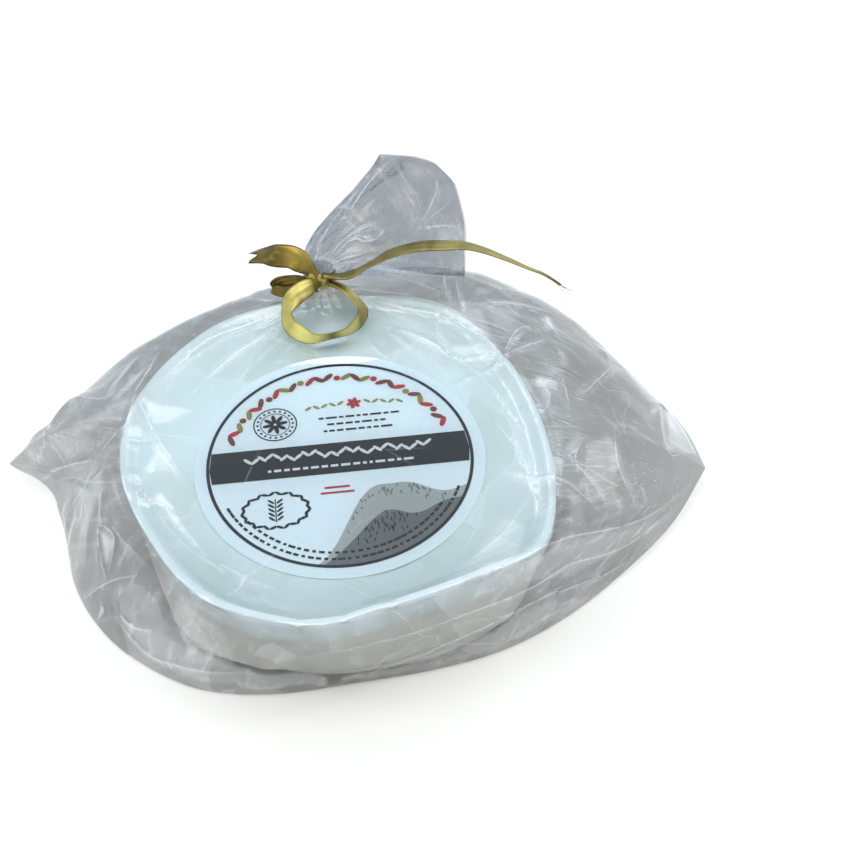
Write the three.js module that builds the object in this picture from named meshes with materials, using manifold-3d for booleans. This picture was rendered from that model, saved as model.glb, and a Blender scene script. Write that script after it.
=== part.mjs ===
import * as THREE from 'three';
import { mergeVertices } from 'three/addons/utils/BufferGeometryUtils.js';
import Module from 'manifold-3d';

// Sheep's milk ricotta in a round tub, inside a clear bag that a gold ribbon ties.
// The bag is one solid out to its film. Its top takes the form of the covered tub,
// its sides run out into two corners, and its gathered mouth stands up as a fan.
// Millimetres, +Z up. The origin is on the table under the middle of the tub,
// and -Y is the front, where the bag's bottom edge lies.

const wasm = await Module();
wasm.setup();

// Tub, as its film shows it
const RIM_HEIGHT = 43;
const COVER_DIP = 3.6; // how far the cover lies below the rim
// The film over the cover, as [share of the rim's radius, how far below the rim's height]
const LID_PROFILE = [[0.3, COVER_DIP], [0.58, COVER_DIP], [0.8, COVER_DIP], [0.91, 3.2], [0.955, 0.3], [0.975, 0],
  [1, 0.6]];

// Film between the rim and the table
const EDGE_THICKNESS = 1.8;
const SHOULDER_DROP = 1.2; // where the film leaves the rim, below the rim's height
const FRONT_BULGE = 1.5; // 1 is a straight slope, more stands out before it falls
const BACK_BULGE = 3.4;
const BULGE_CHANGE = [20, 80]; // from front to back, the bulge changes between these two y
const FALLS = [0.1, 0.24, 0.38, 0.52, 0.66, 0.79, 0.9, 1]; // shares of the way from the rim to the edge
const FOLD_DEPTH = 1.1;
const FOLDS_ROUND = 23;
const FOLD_REACH = 30; // the folds are full where the film reaches this far past the rim
const UNDER_MARGIN = 2; // the flat underside ends this far inside the edge
const UNDER_SLOPE = 2.4; // and further in where the edge is higher
const UNDER_LOSS = 0.03; // at least this share inside it
const UNDER_INNER = 0.5; // share of the rim's radius at which the underside has its last ring

// Gathered neck and the fan above the tie
const TIE = new THREE.Vector3(0, 85, 52);
const NECK_RADIUS = 5.4;
const TENT_RISE = 5; // how far the tie lifts the film round it
const TENT_REACH = 34;
const TENT_LEAN = 3; // the tent's top is this far in front of the tie
const TENT_CURVE = 1.7;
const TENT_FOLDS = 11;
const TENT_FOLD_HEIGHT = 0.9;
const NECK_DEPTH = 11; // how far the gathered film goes down under the tie
const NECK_FLARE = 8;
const NECK_CURVE = 1.5;
const NECK_DEPTHS = [1, 0.75, 0.5, 0.25]; // shares of that depth at which it has a ring
const NECK_LEAN = [1, 4]; // how far its foot stands left of the tie and in front of it
const NECK_RISE = new THREE.Vector3(8, 3, 8); // the way and the pull with which pleats leave the tie
const NECK_SPREAD_UP = 38; // the pull with which the pleats leave it to the fan's upper side
const NECK_SPREAD_DOWN = 18;
const FAN_LENGTH = 64;
const FAN_DIRECTION = new THREE.Vector3(0.81, 0.25, 0.37).normalize();
const FAN_WIDTH_LINE = new THREE.Vector3(-0.6, 0.18, 0.8);
const FAN_HALF_ANGLE = THREE.MathUtils.degToRad(31);
const FAN_LOW_TURN = THREE.MathUtils.degToRad(6); // how much further the fan spreads on its lower side
const FAN_HALF_DEPTH = 1.6;
const FAN_BELLY = 5.5; // how much further the two plies part half way up the fan
const FAN_PLEATS = 9;
const FAN_PLEAT_DEPTH = 0.8;
const MOUTH_DIP = 2;
// How far the fan reaches, as [place from its upper side (-1) to its lower one (1), reach]
const FAN_REACH = [[-1, 52.5], [-0.85, 54.5], [-0.6, 58.5], [-0.35, 62.5], [0, FAN_LENGTH], [0.3, 62],
  [0.7, 59.5], [1, 59.5]];

// Ribbon
const RIBBON_WIDTH = 9;
const LOOP_WIDTH = 7.5;
const SHORT_LOOP_WIDTH = 4.5;
const RIGHT_TAIL_WIDTH = 7.2;
const RIGHT_TAIL_END = 1.2;
const RIBBON_THICKNESS = 1;
const KNOT_PINCH = 0.55; // share of its width that the ribbon keeps where it leaves the knot
const PINCH_LENGTH = 10;
const BAND_WIDTH = 5;
const BAND_MARGIN = 0.5; // the film is gathered this far past both edges of the band
const BAND_DROP = 1.5; // how much lower than the tie the band's far side lies
const RIBBON_GAP = 0.5; // between the ribbon and the film it ties
const TRIM_GAP = 0.4; // what the ribbon keeps clear of the film
const NOTCH_DEPTH = 4;
const NOTCH_HALF_WIDTH = 3;
const KNOT = new THREE.Vector3(-1, 77.5, 55);
const KNOT_SIZE = new THREE.Vector3(4.8, 3.2, 4.4);
const KNOT_TURN = 0.5;

// How finely the surfaces are divided
const FRONT_STEPS = 52;
const BACK_STEPS = 52;
const GATHER_SIDES = 44;
const FAN_STEPS = 11;
const BAND_STEPS = 24;
const KNOT_STEPS = [14, 10];
const RIM_STEPS = 360;
const STEPS_PER_POINT = 3; // of a ribbon's route
const WELD = 1e-3; // points this near each other are one

// The covered rim seen from above, as [degrees from +X, radius]. It was pushed out of round.
const rimPlan = [
  [-40, 87.5], [-52, 81.5], [-83, 77], [-100, 81], [-127, 80.5], [-156, 75.8], [179, 78],
  [153, 81], [118, 84.5], [88, 83], [58, 87.5], [31, 78.5], [10, 75.8], [-18, 80],
];

// The bag's edge as [x, y, z], from the left corner round the front to the right one.
const frontEdge = [
  [-127, 37, 11], [-113, 30, 4], [-106, 12, 2], [-99, -20, 2], [-89, -40, 2], [-77, -54, 2],
  [-55, -69.5, 2], [-30, -75, 2], [0, -74, 2], [27, -72, 2], [51, -67, 2], [75, -56, 2],
  [101, -38, 3], [122, -20, 5], [140, 3, 8],
];

// The same from the right corner round the back.
const backEdge = [
  [140, 3, 8], [137, 25, 8], [128, 50, 6], [114, 76, 4], [96, 99, 3], [66, 118, 3], [22, 119, 3],
  [-18, 111, 3], [-54, 94, 3], [-80, 78, 4], [-101, 62, 7], [-116, 50, 9.5], [-127, 37, 11],
];

// Routes of the ribbon: a point, then the line across the ribbon there.
const loopRoute = [
  [0.5, 77, 55.5, 0.3, -0.2, -0.9], [-5, 73, 56, 0.46, -0.66, -0.6], [-11, 69.5, 54, 0.67, -0.7, -0.33],
  [-14, 66.5, 50, 0.57, -0.75, 0.46], [-13.5, 62.5, 46.5, 0.66, -0.33, 0.7], [-9.5, 58.5, 45, 0.42, -0.03, 0.9],
  [-4, 55.5, 44.5, 0.08, -0.35, 0.91], [2.5, 56, 44.5, -0.04, -0.5, 0.84], [8.5, 57.5, 45, -0.16, -0.46, 0.84],
  [13.5, 62, 46, -0.38, -0.44, 0.77], [15, 66.5, 47.5, -0.49, -0.7, 0.5], [12.5, 71, 49.5, -0.36, -0.85, 0.4],
  [9, 74.5, 52, -0.33, -0.91, 0.31], [3, 76, 54.5, -0.33, -0.94, 0.23],
];
const leftTailRoute = [
  [-1, 77, 57.5, -0.33, 0.39, -0.83], [-5, 80, 60.5, -0.54, -0.08, -0.81], [-10, 83, 63, -0.43, -0.62, -0.65],
  [-15, 84, 63.5, -0.17, -0.69, -0.7], [-20.5, 85.5, 63, 0.01, -1, -0.11], [-27, 85.5, 62.5, 0.08, -1, 0.25],
];
const shortLoopRoute = [
  [-1, 77, 54, 0, 0.3, 1], [-9, 80.5, 53.5, 0, 0.3, 1], [-17, 83, 51, 0, 0.3, 1], [-19, 81.5, 50, 0, 0.3, 1],
  [-16, 80, 49, 0, 0.3, 1], [-8, 78, 50.5, 0, 0.3, 1], [-1, 76, 52, 0, 0.3, 1],
];
const rightTailRoute = [
  [1, 77, 57, 0, 0.95, -0.3], [10.5, 76.5, 57, -0.06, 0.95, -0.27], [17.5, 78, 59, -0.08, 0.93, -0.43],
  [22.5, 79, 61, -0.1, 0.98, -0.33], [28.5, 79.5, 63.5, -0.07, 1, -0.19], [39, 79, 66, 0, 1, -0.11],
  [47.5, 76, 68, 0.12, 1, -0.05], [56.5, 74, 68.5, 0.2, 1, -0.12], [63.5, 72, 67, 0.29, 0.99, -0.22],
  [71.5, 69.5, 64, 0.3, 0.94, -0.34], [80, 67.5, 60, 0.26, 0.89, -0.45], [86, 66.5, 57, 0.24, 0.84, -0.52],
  [92.5, 64.5, 52.5, 0.22, 0.8, -0.58],
];

function vectors(rows) {
  return rows.map(([x, y, z]) => new THREE.Vector3(x, y, z));
}

function lerp(from, to, share) {
  return from + (to - from) * share;
}

// A closed surface through rings of points with one point before them and one after.
function loft(first, rings, last) {
  const around = rings[0].length;
  const points = [first, ...rings.flat(), last];
  const lastIndex = points.length - 1;
  const triangles = [];
  for (let i = 0; i < around; i += 1) {
    const next = (i + 1) % around;
    triangles.push(0, 1 + i, 1 + next);
    for (let ring = 0; ring + 1 < rings.length; ring += 1) {
      const here = 1 + ring * around;
      const there = here + around;
      triangles.push(here + i, there + i, there + next);
      triangles.push(here + i, there + next, here + next);
    }
    const end = lastIndex - around;
    triangles.push(end + i, lastIndex, end + next);
  }
  const geometry = new THREE.BufferGeometry().setFromPoints(points);
  geometry.setIndex(triangles);
  return facingOut(geometry);
}

// Turns every face round if they point in.
function facingOut(geometry) {
  const position = geometry.getAttribute('position');
  const index = geometry.getIndex();
  const [a, b, c] = [new THREE.Vector3(), new THREE.Vector3(), new THREE.Vector3()];
  let volume = 0;
  for (let i = 0; i < index.count; i += 3) {
    a.fromBufferAttribute(position, index.getX(i));
    b.fromBufferAttribute(position, index.getX(i + 1));
    c.fromBufferAttribute(position, index.getX(i + 2));
    volume += a.dot(b.cross(c));
  }
  if (volume < 0) {
    index.array.reverse();
  }
  return geometry;
}

function toSolid(geometry) {
  const plain = geometry.clone();
  plain.deleteAttribute('normal');
  plain.deleteAttribute('uv');
  const merged = mergeVertices(plain, WELD);
  return new wasm.Manifold(new wasm.Mesh({
    numProp: 3,
    vertProperties: new Float32Array(merged.getAttribute('position').array),
    triVerts: new Uint32Array(merged.getIndex().array),
  }));
}

function toGeometry(solid) {
  const mesh = solid.getMesh();
  const geometry = new THREE.BufferGeometry();
  geometry.setAttribute('position', new THREE.BufferAttribute(mesh.vertProperties, 3));
  geometry.setIndex(new THREE.BufferAttribute(mesh.triVerts, 1));
  return geometry;
}

function joined(geometries) {
  return geometries.map(toSolid).reduce((whole, piece) => whole.add(piece));
}

// The largest body of a solid, without its loose scraps and with its sealed hollows filled.
function largest(solid) {
  return solid.decompose().reduce((most, piece) => (piece.volume() > most.volume() ? piece : most));
}

// One named mesh of a joined solid, welded so that no sliver is left in it.
function node(name, solid, material) {
  const welded = largest(toSolid(toGeometry(largest(solid))));
  const mesh = new THREE.Mesh(toGeometry(welded), material);
  mesh.name = name;
  return mesh;
}

// The rim's radius at an angle, from a smooth closed curve through rimPlan.
function rimRadiusFinder() {
  const corners = rimPlan.map(([degrees, radius]) => {
    const angle = THREE.MathUtils.degToRad(degrees);
    return new THREE.Vector3(radius * Math.cos(angle), radius * Math.sin(angle), 0);
  });
  const samples = new THREE.CatmullRomCurve3(corners, true).getPoints(RIM_STEPS);
  const polar = samples.map((p) => ({ angle: Math.atan2(p.y, p.x), radius: Math.hypot(p.x, p.y) }));
  const gap = (sample, angle) => Math.abs(Math.atan2(Math.sin(sample.angle - angle),
    Math.cos(sample.angle - angle)));
  return (angle) => polar.reduce((best, sample) => (
    gap(sample, angle) < gap(best, angle) ? sample : best)).radius;
}

// Points along the bag's edge, once round, with both corners among them.
function bagEdge() {
  const front = new THREE.CatmullRomCurve3(vectors(frontEdge)).getPoints(FRONT_STEPS);
  const back = new THREE.CatmullRomCurve3(vectors(backEdge)).getPoints(BACK_STEPS);
  return [...front.slice(0, -1), ...back.slice(0, -1)];
}

// How far the tie lifts the film at a point, as a tent with soft folds that run to the tie.
function tent(x, y) {
  const away = Math.hypot(x - TIE.x, y - TIE.y + TENT_LEAN) / TENT_REACH;
  if (away >= 1) {
    return 0;
  }
  const around = Math.atan2(y - TIE.y, x - TIE.x);
  const fold = TENT_FOLD_HEIGHT * Math.sin(Math.PI * away) * Math.sin(TENT_FOLDS * around);
  return TENT_RISE * (1 - away) ** TENT_CURVE + fold;
}

// A ring of points of the film at a share of the way from the rim to the bag's edge.
function fallRing(rim, edge, fall) {
  return edge.map((point, i) => {
    const bulge = lerp(FRONT_BULGE, BACK_BULGE, THREE.MathUtils.smoothstep(point.y, ...BULGE_CHANGE));
    const x = lerp(rim[i].x, point.x, fall);
    const y = lerp(rim[i].y, point.y, fall);
    const angle = Math.atan2(point.y, point.x);
    const wide = Math.min(1, Math.hypot(point.x - rim[i].x, point.y - rim[i].y) / FOLD_REACH);
    const fold = FOLD_DEPTH * wide * Math.sin(Math.PI * fall) * Math.sin(FOLDS_ROUND * angle);
    const slope = lerp(RIM_HEIGHT - SHOULDER_DROP, point.z, fall ** bulge);
    return new THREE.Vector3(x, y, slope + fold + tent(x, y) * (1 - fall));
  });
}

// The film over the covered tub and its wings, down to the flat underside.
function draped() {
  const edge = bagEdge();
  const rimRadius = rimRadiusFinder();
  const rim = edge.map((point) => {
    const angle = Math.atan2(point.y, point.x);
    const radius = rimRadius(angle);
    return new THREE.Vector3(radius * Math.cos(angle), radius * Math.sin(angle), RIM_HEIGHT);
  });
  const lid = LID_PROFILE.map(([share, below]) => rim.map((p) => {
    const [x, y] = [p.x * share, p.y * share];
    return new THREE.Vector3(x, y, RIM_HEIGHT - below + tent(x, y));
  }));
  const sides = FALLS.map((fall) => fallRing(rim, edge, fall));
  const lowEdge = edge.map((p) => new THREE.Vector3(p.x, p.y, Math.max(0, p.z - EDGE_THICKNESS)));
  const underside = edge.map((p) => {
    const reach = Math.hypot(p.x, p.y);
    const share = Math.min(1 - UNDER_LOSS, (reach - UNDER_MARGIN - UNDER_SLOPE * p.z) / reach);
    return new THREE.Vector3(p.x * share, p.y * share, 0);
  });
  const inner = rim.map((p) => new THREE.Vector3(p.x * UNDER_INNER, p.y * UNDER_INNER, 0));
  return loft(new THREE.Vector3(0, 0, RIM_HEIGHT - COVER_DIP), [...lid, ...sides, lowEdge, underside, inner],
    new THREE.Vector3(0, 0, 0));
}

// The point at a share of the way along a curve that leaves and arrives by the given tangents.
function onCurve(share, start, leaving, end, arriving) {
  const rest = 1 - share;
  return new THREE.Vector3()
    .addScaledVector(start, rest * rest * (1 + 2 * share))
    .addScaledVector(leaving, rest * rest * share)
    .addScaledVector(end, share * share * (3 - 2 * share))
    .addScaledVector(arriving, -share * share * rest);
}

// The value at a place of a table of [place, value] rows.
function readOff(table, place) {
  const next = Math.max(1, table.findIndex(([at]) => at >= place));
  const [[from, low], [to, high]] = table.slice(next - 1, next + 1);
  return lerp(low, high, (place - from) / (to - from));
}

// The pleated film from under the tie to the bag's mouth, flattened into a fan.
// Each pleat is a line that rises out of the tie and bends over into its own direction.
function gather(spare = 0) {
  const radius = NECK_RADIUS + spare;
  const across = FAN_WIDTH_LINE.clone().projectOnPlane(FAN_DIRECTION).normalize();
  const through = new THREE.Vector3().crossVectors(across, FAN_DIRECTION);
  const half = BAND_WIDTH / 2 + BAND_MARGIN;
  const sides = Array.from({ length: GATHER_SIDES }, (_, side) => {
    const angle = (side / GATHER_SIDES) * 2 * Math.PI;
    return [Math.cos(angle), Math.sin(angle), Math.cos(FAN_PLEATS * angle)];
  });
  const ringAt = (x, y, z, reach) => sides.map(([u, v]) => new THREE.Vector3(x + u * reach, y + v * reach, z));
  const [leanLeft, leanForward] = NECK_LEAN;

  const rings = NECK_DEPTHS.map((depth) => ringAt(TIE.x - leanLeft * depth,
    TIE.y - leanForward * depth, TIE.z - half - NECK_DEPTH * depth, radius + NECK_FLARE * depth ** NECK_CURVE));
  rings.push(ringAt(TIE.x, TIE.y, TIE.z - half, radius));
  const neck = ringAt(TIE.x, TIE.y, TIE.z + half, radius);
  for (let step = 0; step <= FAN_STEPS; step += 1) {
    const share = step / FAN_STEPS;
    const belly = FAN_BELLY * Math.sin(Math.PI * share);
    rings.push(neck.map((start, side) => {
      const [u, v, pleat] = sides[side];
      const turn = u * FAN_HALF_ANGLE + FAN_LOW_TURN * THREE.MathUtils.smoothstep(u, 0, 1);
      const outward = FAN_DIRECTION.clone().multiplyScalar(Math.cos(turn))
        .addScaledVector(across, -Math.sin(turn));
      const reach = readOff(FAN_REACH, u);
      const end = TIE.clone().addScaledVector(outward, reach)
        .addScaledVector(through, v * (FAN_HALF_DEPTH + spare) + pleat * v * FAN_PLEAT_DEPTH);
      const spread = u * (u < 0 ? NECK_SPREAD_UP : NECK_SPREAD_DOWN);
      const leaving = NECK_RISE.clone().addScaledVector(across, -spread);
      return onCurve(share, start, leaving, end, outward.multiplyScalar(reach))
        .addScaledVector(through, v * belly);
    }));
  }
  const bottom = new THREE.Vector3(TIE.x - leanLeft, TIE.y - leanForward, TIE.z - half - NECK_DEPTH);
  const mouth = TIE.clone().addScaledVector(FAN_DIRECTION, FAN_LENGTH - MOUTH_DIP);
  return loft(bottom, rings, mouth);
}

// A flat strip from the knot along a path. Each row is [x, y, z, a, b, c], with a, b, c the line across it.
function strip(rows, width, endWidth, returns) {
  const steps = STEPS_PER_POINT * (rows.length - 1);
  const path = new THREE.CatmullRomCurve3(vectors(rows));
  const lines = new THREE.CatmullRomCurve3(vectors(rows.map((row) => row.slice(3))));
  const length = path.getLength();
  const rings = [];
  for (let step = 0; step <= steps; step += 1) {
    const share = step / steps;
    const fromKnot = length * (returns ? Math.min(share, 1 - share) : share);
    const gathered = lerp(KNOT_PINCH, 1, THREE.MathUtils.smoothstep(fromKnot, 0, PINCH_LENGTH));
    const centre = path.getPoint(share);
    const along = path.getTangent(share);
    const across = lines.getPoint(share).projectOnPlane(along).normalize();
    const out = new THREE.Vector3().crossVectors(along, across);
    const half = (gathered * lerp(width, endWidth, share ** 3)) / 2;
    rings.push([[-1, -1], [1, -1], [1, 1], [-1, 1]].map(([u, v]) => centre.clone()
      .addScaledVector(across, u * half)
      .addScaledVector(out, (v * RIBBON_THICKNESS) / 2)));
  }
  return loft(path.getPoint(0), rings, path.getPoint(1));
}

// The ribbon's turn round the neck.
function band() {
  const radius = NECK_RADIUS + RIBBON_GAP + RIBBON_THICKNESS / 2;
  const half = BAND_WIDTH / 2;
  const thick = RIBBON_THICKNESS / 2;
  return ringLoft(Array.from({ length: BAND_STEPS }, (_, step) => {
    const angle = -Math.PI / 2 + (step / BAND_STEPS) * 2 * Math.PI;
    const out = new THREE.Vector3(Math.cos(angle), Math.sin(angle), 0);
    const centre = TIE.clone().addScaledVector(out, radius);
    centre.z -= BAND_DROP * Math.sin(angle);
    return [[-1, -1], [1, -1], [1, 1], [-1, 1]].map(([u, v]) => centre.clone()
      .addScaledVector(out, v * thick)
      .add(new THREE.Vector3(0, 0, u * half)));
  }));
}

// A closed surface through rings of points that follow each other in a circle.
function ringLoft(rings) {
  const around = rings[0].length;
  const triangles = [];
  rings.forEach((ring, r) => {
    const here = r * around;
    const there = ((r + 1) % rings.length) * around;
    for (let i = 0; i < around; i += 1) {
      const next = (i + 1) % around;
      triangles.push(here + i, there + i, there + next, here + i, there + next, here + next);
    }
  });
  const geometry = new THREE.BufferGeometry().setFromPoints(rings.flat());
  geometry.setIndex(triangles);
  return facingOut(geometry);
}

function knot() {
  const shape = new THREE.SphereGeometry(1, ...KNOT_STEPS);
  shape.scale(...KNOT_SIZE);
  shape.rotateY(KNOT_TURN);
  shape.translate(...KNOT);
  return shape;
}

// The V cut in the end of the left tail.
function notch() {
  const end = new THREE.Vector3(...leftTailRoute.at(-1).slice(0, 3));
  const before = new THREE.Vector3(...leftTailRoute.at(-2).slice(0, 3));
  const along = end.clone().sub(before).normalize();
  const across = new THREE.Vector3(...leftTailRoute.at(-1).slice(3)).projectOnPlane(along).normalize();
  const out = new THREE.Vector3().crossVectors(along, across);
  const outline = new THREE.Shape([
    new THREE.Vector2(-NOTCH_DEPTH, 0), new THREE.Vector2(RIBBON_THICKNESS, NOTCH_HALF_WIDTH),
    new THREE.Vector2(RIBBON_THICKNESS, -NOTCH_HALF_WIDTH),
  ]);
  const prism = new THREE.ExtrudeGeometry(outline, { depth: 2 * NOTCH_DEPTH, bevelEnabled: false });
  prism.translate(0, 0, -NOTCH_DEPTH);
  prism.applyMatrix4(new THREE.Matrix4().makeBasis(along, across, out).setPosition(end));
  return prism;
}

function bag() {
  const material = new THREE.MeshStandardMaterial({
    color: 0xc9cdcc, roughness: 0.25, metalness: 0, side: THREE.FrontSide,
  });
  return node('bag', joined([draped(), gather()]), material);
}

function ribbon() {
  const material = new THREE.MeshStandardMaterial({ color: 0xa08a2e, roughness: 0.35, metalness: 0.1 });
  const solid = joined([
    band(),
    knot(),
    strip(leftTailRoute, RIBBON_WIDTH, RIBBON_WIDTH, false),
    strip(loopRoute, LOOP_WIDTH, LOOP_WIDTH, true),
    strip(shortLoopRoute, SHORT_LOOP_WIDTH, SHORT_LOOP_WIDTH, true),
    strip(rightTailRoute, RIGHT_TAIL_WIDTH, RIGHT_TAIL_END, false),
  ]);
  const neck = toSolid(gather(TRIM_GAP));
  const clearOf = [toSolid(notch()), neck, neck.translate([0, 0, -TRIM_GAP])];
  const trimmed = clearOf.reduce((rest, piece) => rest.subtract(piece), solid);
  return node('ribbon', trimmed, material);
}

const pack = new THREE.Group();
pack.add(bag(), ribbon());

export default pack;
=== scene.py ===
# Sheep's milk ricotta in a covered tub, inside a clear bag that a gold ribbon ties.
# Metres, +Z up, and -Y is the front. The origin is on the table under the middle of the tub.

import math
import random

import bpy
import numpy as np
from mathutils import Matrix, Vector
from mathutils.bvhtree import BVHTree
from mathutils.geometry import delaunay_2d_cdt
from mathutils.kdtree import KDTree


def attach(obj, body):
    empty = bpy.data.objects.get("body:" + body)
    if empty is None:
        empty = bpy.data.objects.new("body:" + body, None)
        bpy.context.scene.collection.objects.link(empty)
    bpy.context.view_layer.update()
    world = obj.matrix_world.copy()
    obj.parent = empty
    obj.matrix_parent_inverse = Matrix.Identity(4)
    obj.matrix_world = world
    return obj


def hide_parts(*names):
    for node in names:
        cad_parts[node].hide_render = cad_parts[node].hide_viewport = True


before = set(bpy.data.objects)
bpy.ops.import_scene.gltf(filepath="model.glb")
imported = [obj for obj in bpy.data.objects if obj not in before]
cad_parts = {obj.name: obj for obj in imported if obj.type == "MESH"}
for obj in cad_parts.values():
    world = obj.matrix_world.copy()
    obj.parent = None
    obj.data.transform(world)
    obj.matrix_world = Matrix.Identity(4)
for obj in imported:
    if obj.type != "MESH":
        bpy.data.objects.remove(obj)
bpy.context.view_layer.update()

MM = 0.001

# Camera, in mm: it stands in front of the pack and looks down at it
CAMERA_PLACE = (0.0, -350.74, 401.42)
CAMERA_RIGHT = (0.993175, -0.115145, -0.018578)
CAMERA_UP = (0.094907, 0.705252, 0.702575)
CAMERA_LENS = 58.54
CAMERA_SENSOR = 36

# Film, in mm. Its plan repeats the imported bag's own numbers.
RIM_HEIGHT = 43.0
COVER_DIP = 3.6
SIDE_TOP = RIM_HEIGHT - 0.6  # where the film's sides start to fall
EDGE_THICKNESS = 1.8
FRONT_BULGE = 1.5
BACK_BULGE = 3.4
BULGE_CHANGE = (20, 80)  # from the first y to the second the front's bulge turns into the back's
TIE = (0.0, 85.0, 52.0)
NECK_RADIUS = 5.4
BAND_WIDTH = 5.0
BAND_GAP = 0.8  # how far outside the neck the band's middle goes
BAND_MARGIN = 0.5  # how far the neck goes straight past the band
BAND_DROP = 1.5  # how much lower than the tie the band's far side lies
TENT_RISE = 5.0
TENT_REACH = 34.0
TENT_FORWARD = 3  # how far the tent's top lies in front of the tie
TENT_CURVE = 1.7
NECK_DEPTH = 11.0
NECK_FLARE = 8.0
NECK_CURVE = 1.5
NECK_OVERLAP = 0.2  # the flare under the neck starts this far inside it
NECK_BLEND = 1.4  # how softly the flare meets the film round it
NECK_REACH = 20
NECK_RISE = (8.0, 3.0, 8.0)
NECK_SPREAD_UP = 38.0  # the pull with which the pleats leave the tie to the fan's upper side
NECK_SPREAD_DOWN = 18.0
FAN_LENGTH = 64.0
FAN_DIRECTION = (0.81, 0.25, 0.37)
FAN_WIDTH_LINE = (-0.6, 0.18, 0.8)
FAN_HALF_ANGLE = math.radians(31)
FAN_HALF_DEPTH = 1.6
FAN_BELLY = 5.5  # how much further the two plies part half way up the fan
FAN_PLEATS = 9
FAN_PLEAT_DEPTH = 0.8
FAN_LOW_TURN = math.radians(6)  # how much further the fan spreads on its lower side
FAN_AROUND = 108.0  # how far the flat sheet of the bag's mouth goes round
FAN_BELOW = -6.0  # where that sheet starts, under the tie
# How far the fan reaches, from its upper side (-1) to its lower one (1)
FAN_REACH = [
    (-1, 52.5), (-0.85, 54.5), (-0.6, 58.5), (-0.35, 62.5), (0, 64), (0.3, 62), (0.7, 59.5), (1, 59.5),
]

# The lid: how high it lies over its sunk middle, by the share of the way out to the rim
LID_SHARES = (0, 0.8, 0.86, 0.90, 0.93, 0.955, 0.975, 0.99, 1)
LID_HEIGHTS = (0, 0, 0.1, 0.5, 1.9, 3.2, 3.6, 3.45, 3.0)
# The covered rim seen from above, as (degrees from +X, radius)
RIM_PLAN = [
    (-40, 87.5), (-52, 81.5), (-83, 77), (-100, 81), (-127, 80.5), (-156, 75.8), (179, 78),
    (153, 81), (118, 84.5), (88, 83), (58, 87.5), (31, 78.5), (10, 75.8), (-18, 80),
]
# The tub's foot seen from above, the same way
FOOT_PLAN = [
    (-138, 77), (-125, 74.5), (-109, 71.5), (-95, 71.5), (-74, 72.5), (-60, 75), (-42, 77), (0, 71),
    (35, 73), (60, 78), (90, 76), (120, 76), (155, 73), (180, 71), (-160, 72),
]
# The bag's edge as (x, y, z), from the left corner round the front to the right one
FRONT_EDGE = [
    (-127, 37, 11), (-113, 30, 4), (-106, 12, 2), (-99, -20, 2), (-89, -40, 2), (-77, -54, 2),
    (-55, -69.5, 2), (-30, -75, 2), (0, -74, 2), (27, -72, 2), (51, -67, 2), (75, -56, 2),
    (101, -38, 3), (122, -20, 5), (140, 3, 8),
]
# The same from the right corner round the back
BACK_EDGE = [
    (140, 3, 8), (137, 25, 8), (128, 50, 6), (114, 76, 4), (96, 99, 3), (66, 118, 3), (22, 119, 3),
    (-18, 111, 3), (-54, 94, 3), (-80, 78, 4), (-101, 62, 7), (-116, 50, 9.5), (-127, 37, 11),
]

# The film's flat sheets, in mm
SHEET_SPACING = 0.95
MOUTH_SPACING = 1.05
NET_SPACING = 12.0
MOUTH_NET_SPACING = 9.0
LABEL_NET_HEIGHT = 0.05
LID_NET_HEIGHT = 0.45
SIDE_NET_HEIGHT = 0.9
MOUTH_NET_HEIGHT = 0.6
LID_HOLLOW = -0.2  # how deep the folds' hollows go on the lid
SIDE_HOLLOW = -1.2
OFF_TABLE = 0.4
CORNER_ROUNDING = 26.0  # the film near the left corner is softened within this distance
PANE_BORDER = 3.0  # the painted highlight of a facet comes up over this distance
PLEATS = 20
PLEAT_HEIGHT = 0.7
FLAT_TIE = (0.0, 85.0)
HOLE_RADIUS = 5.2
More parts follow.
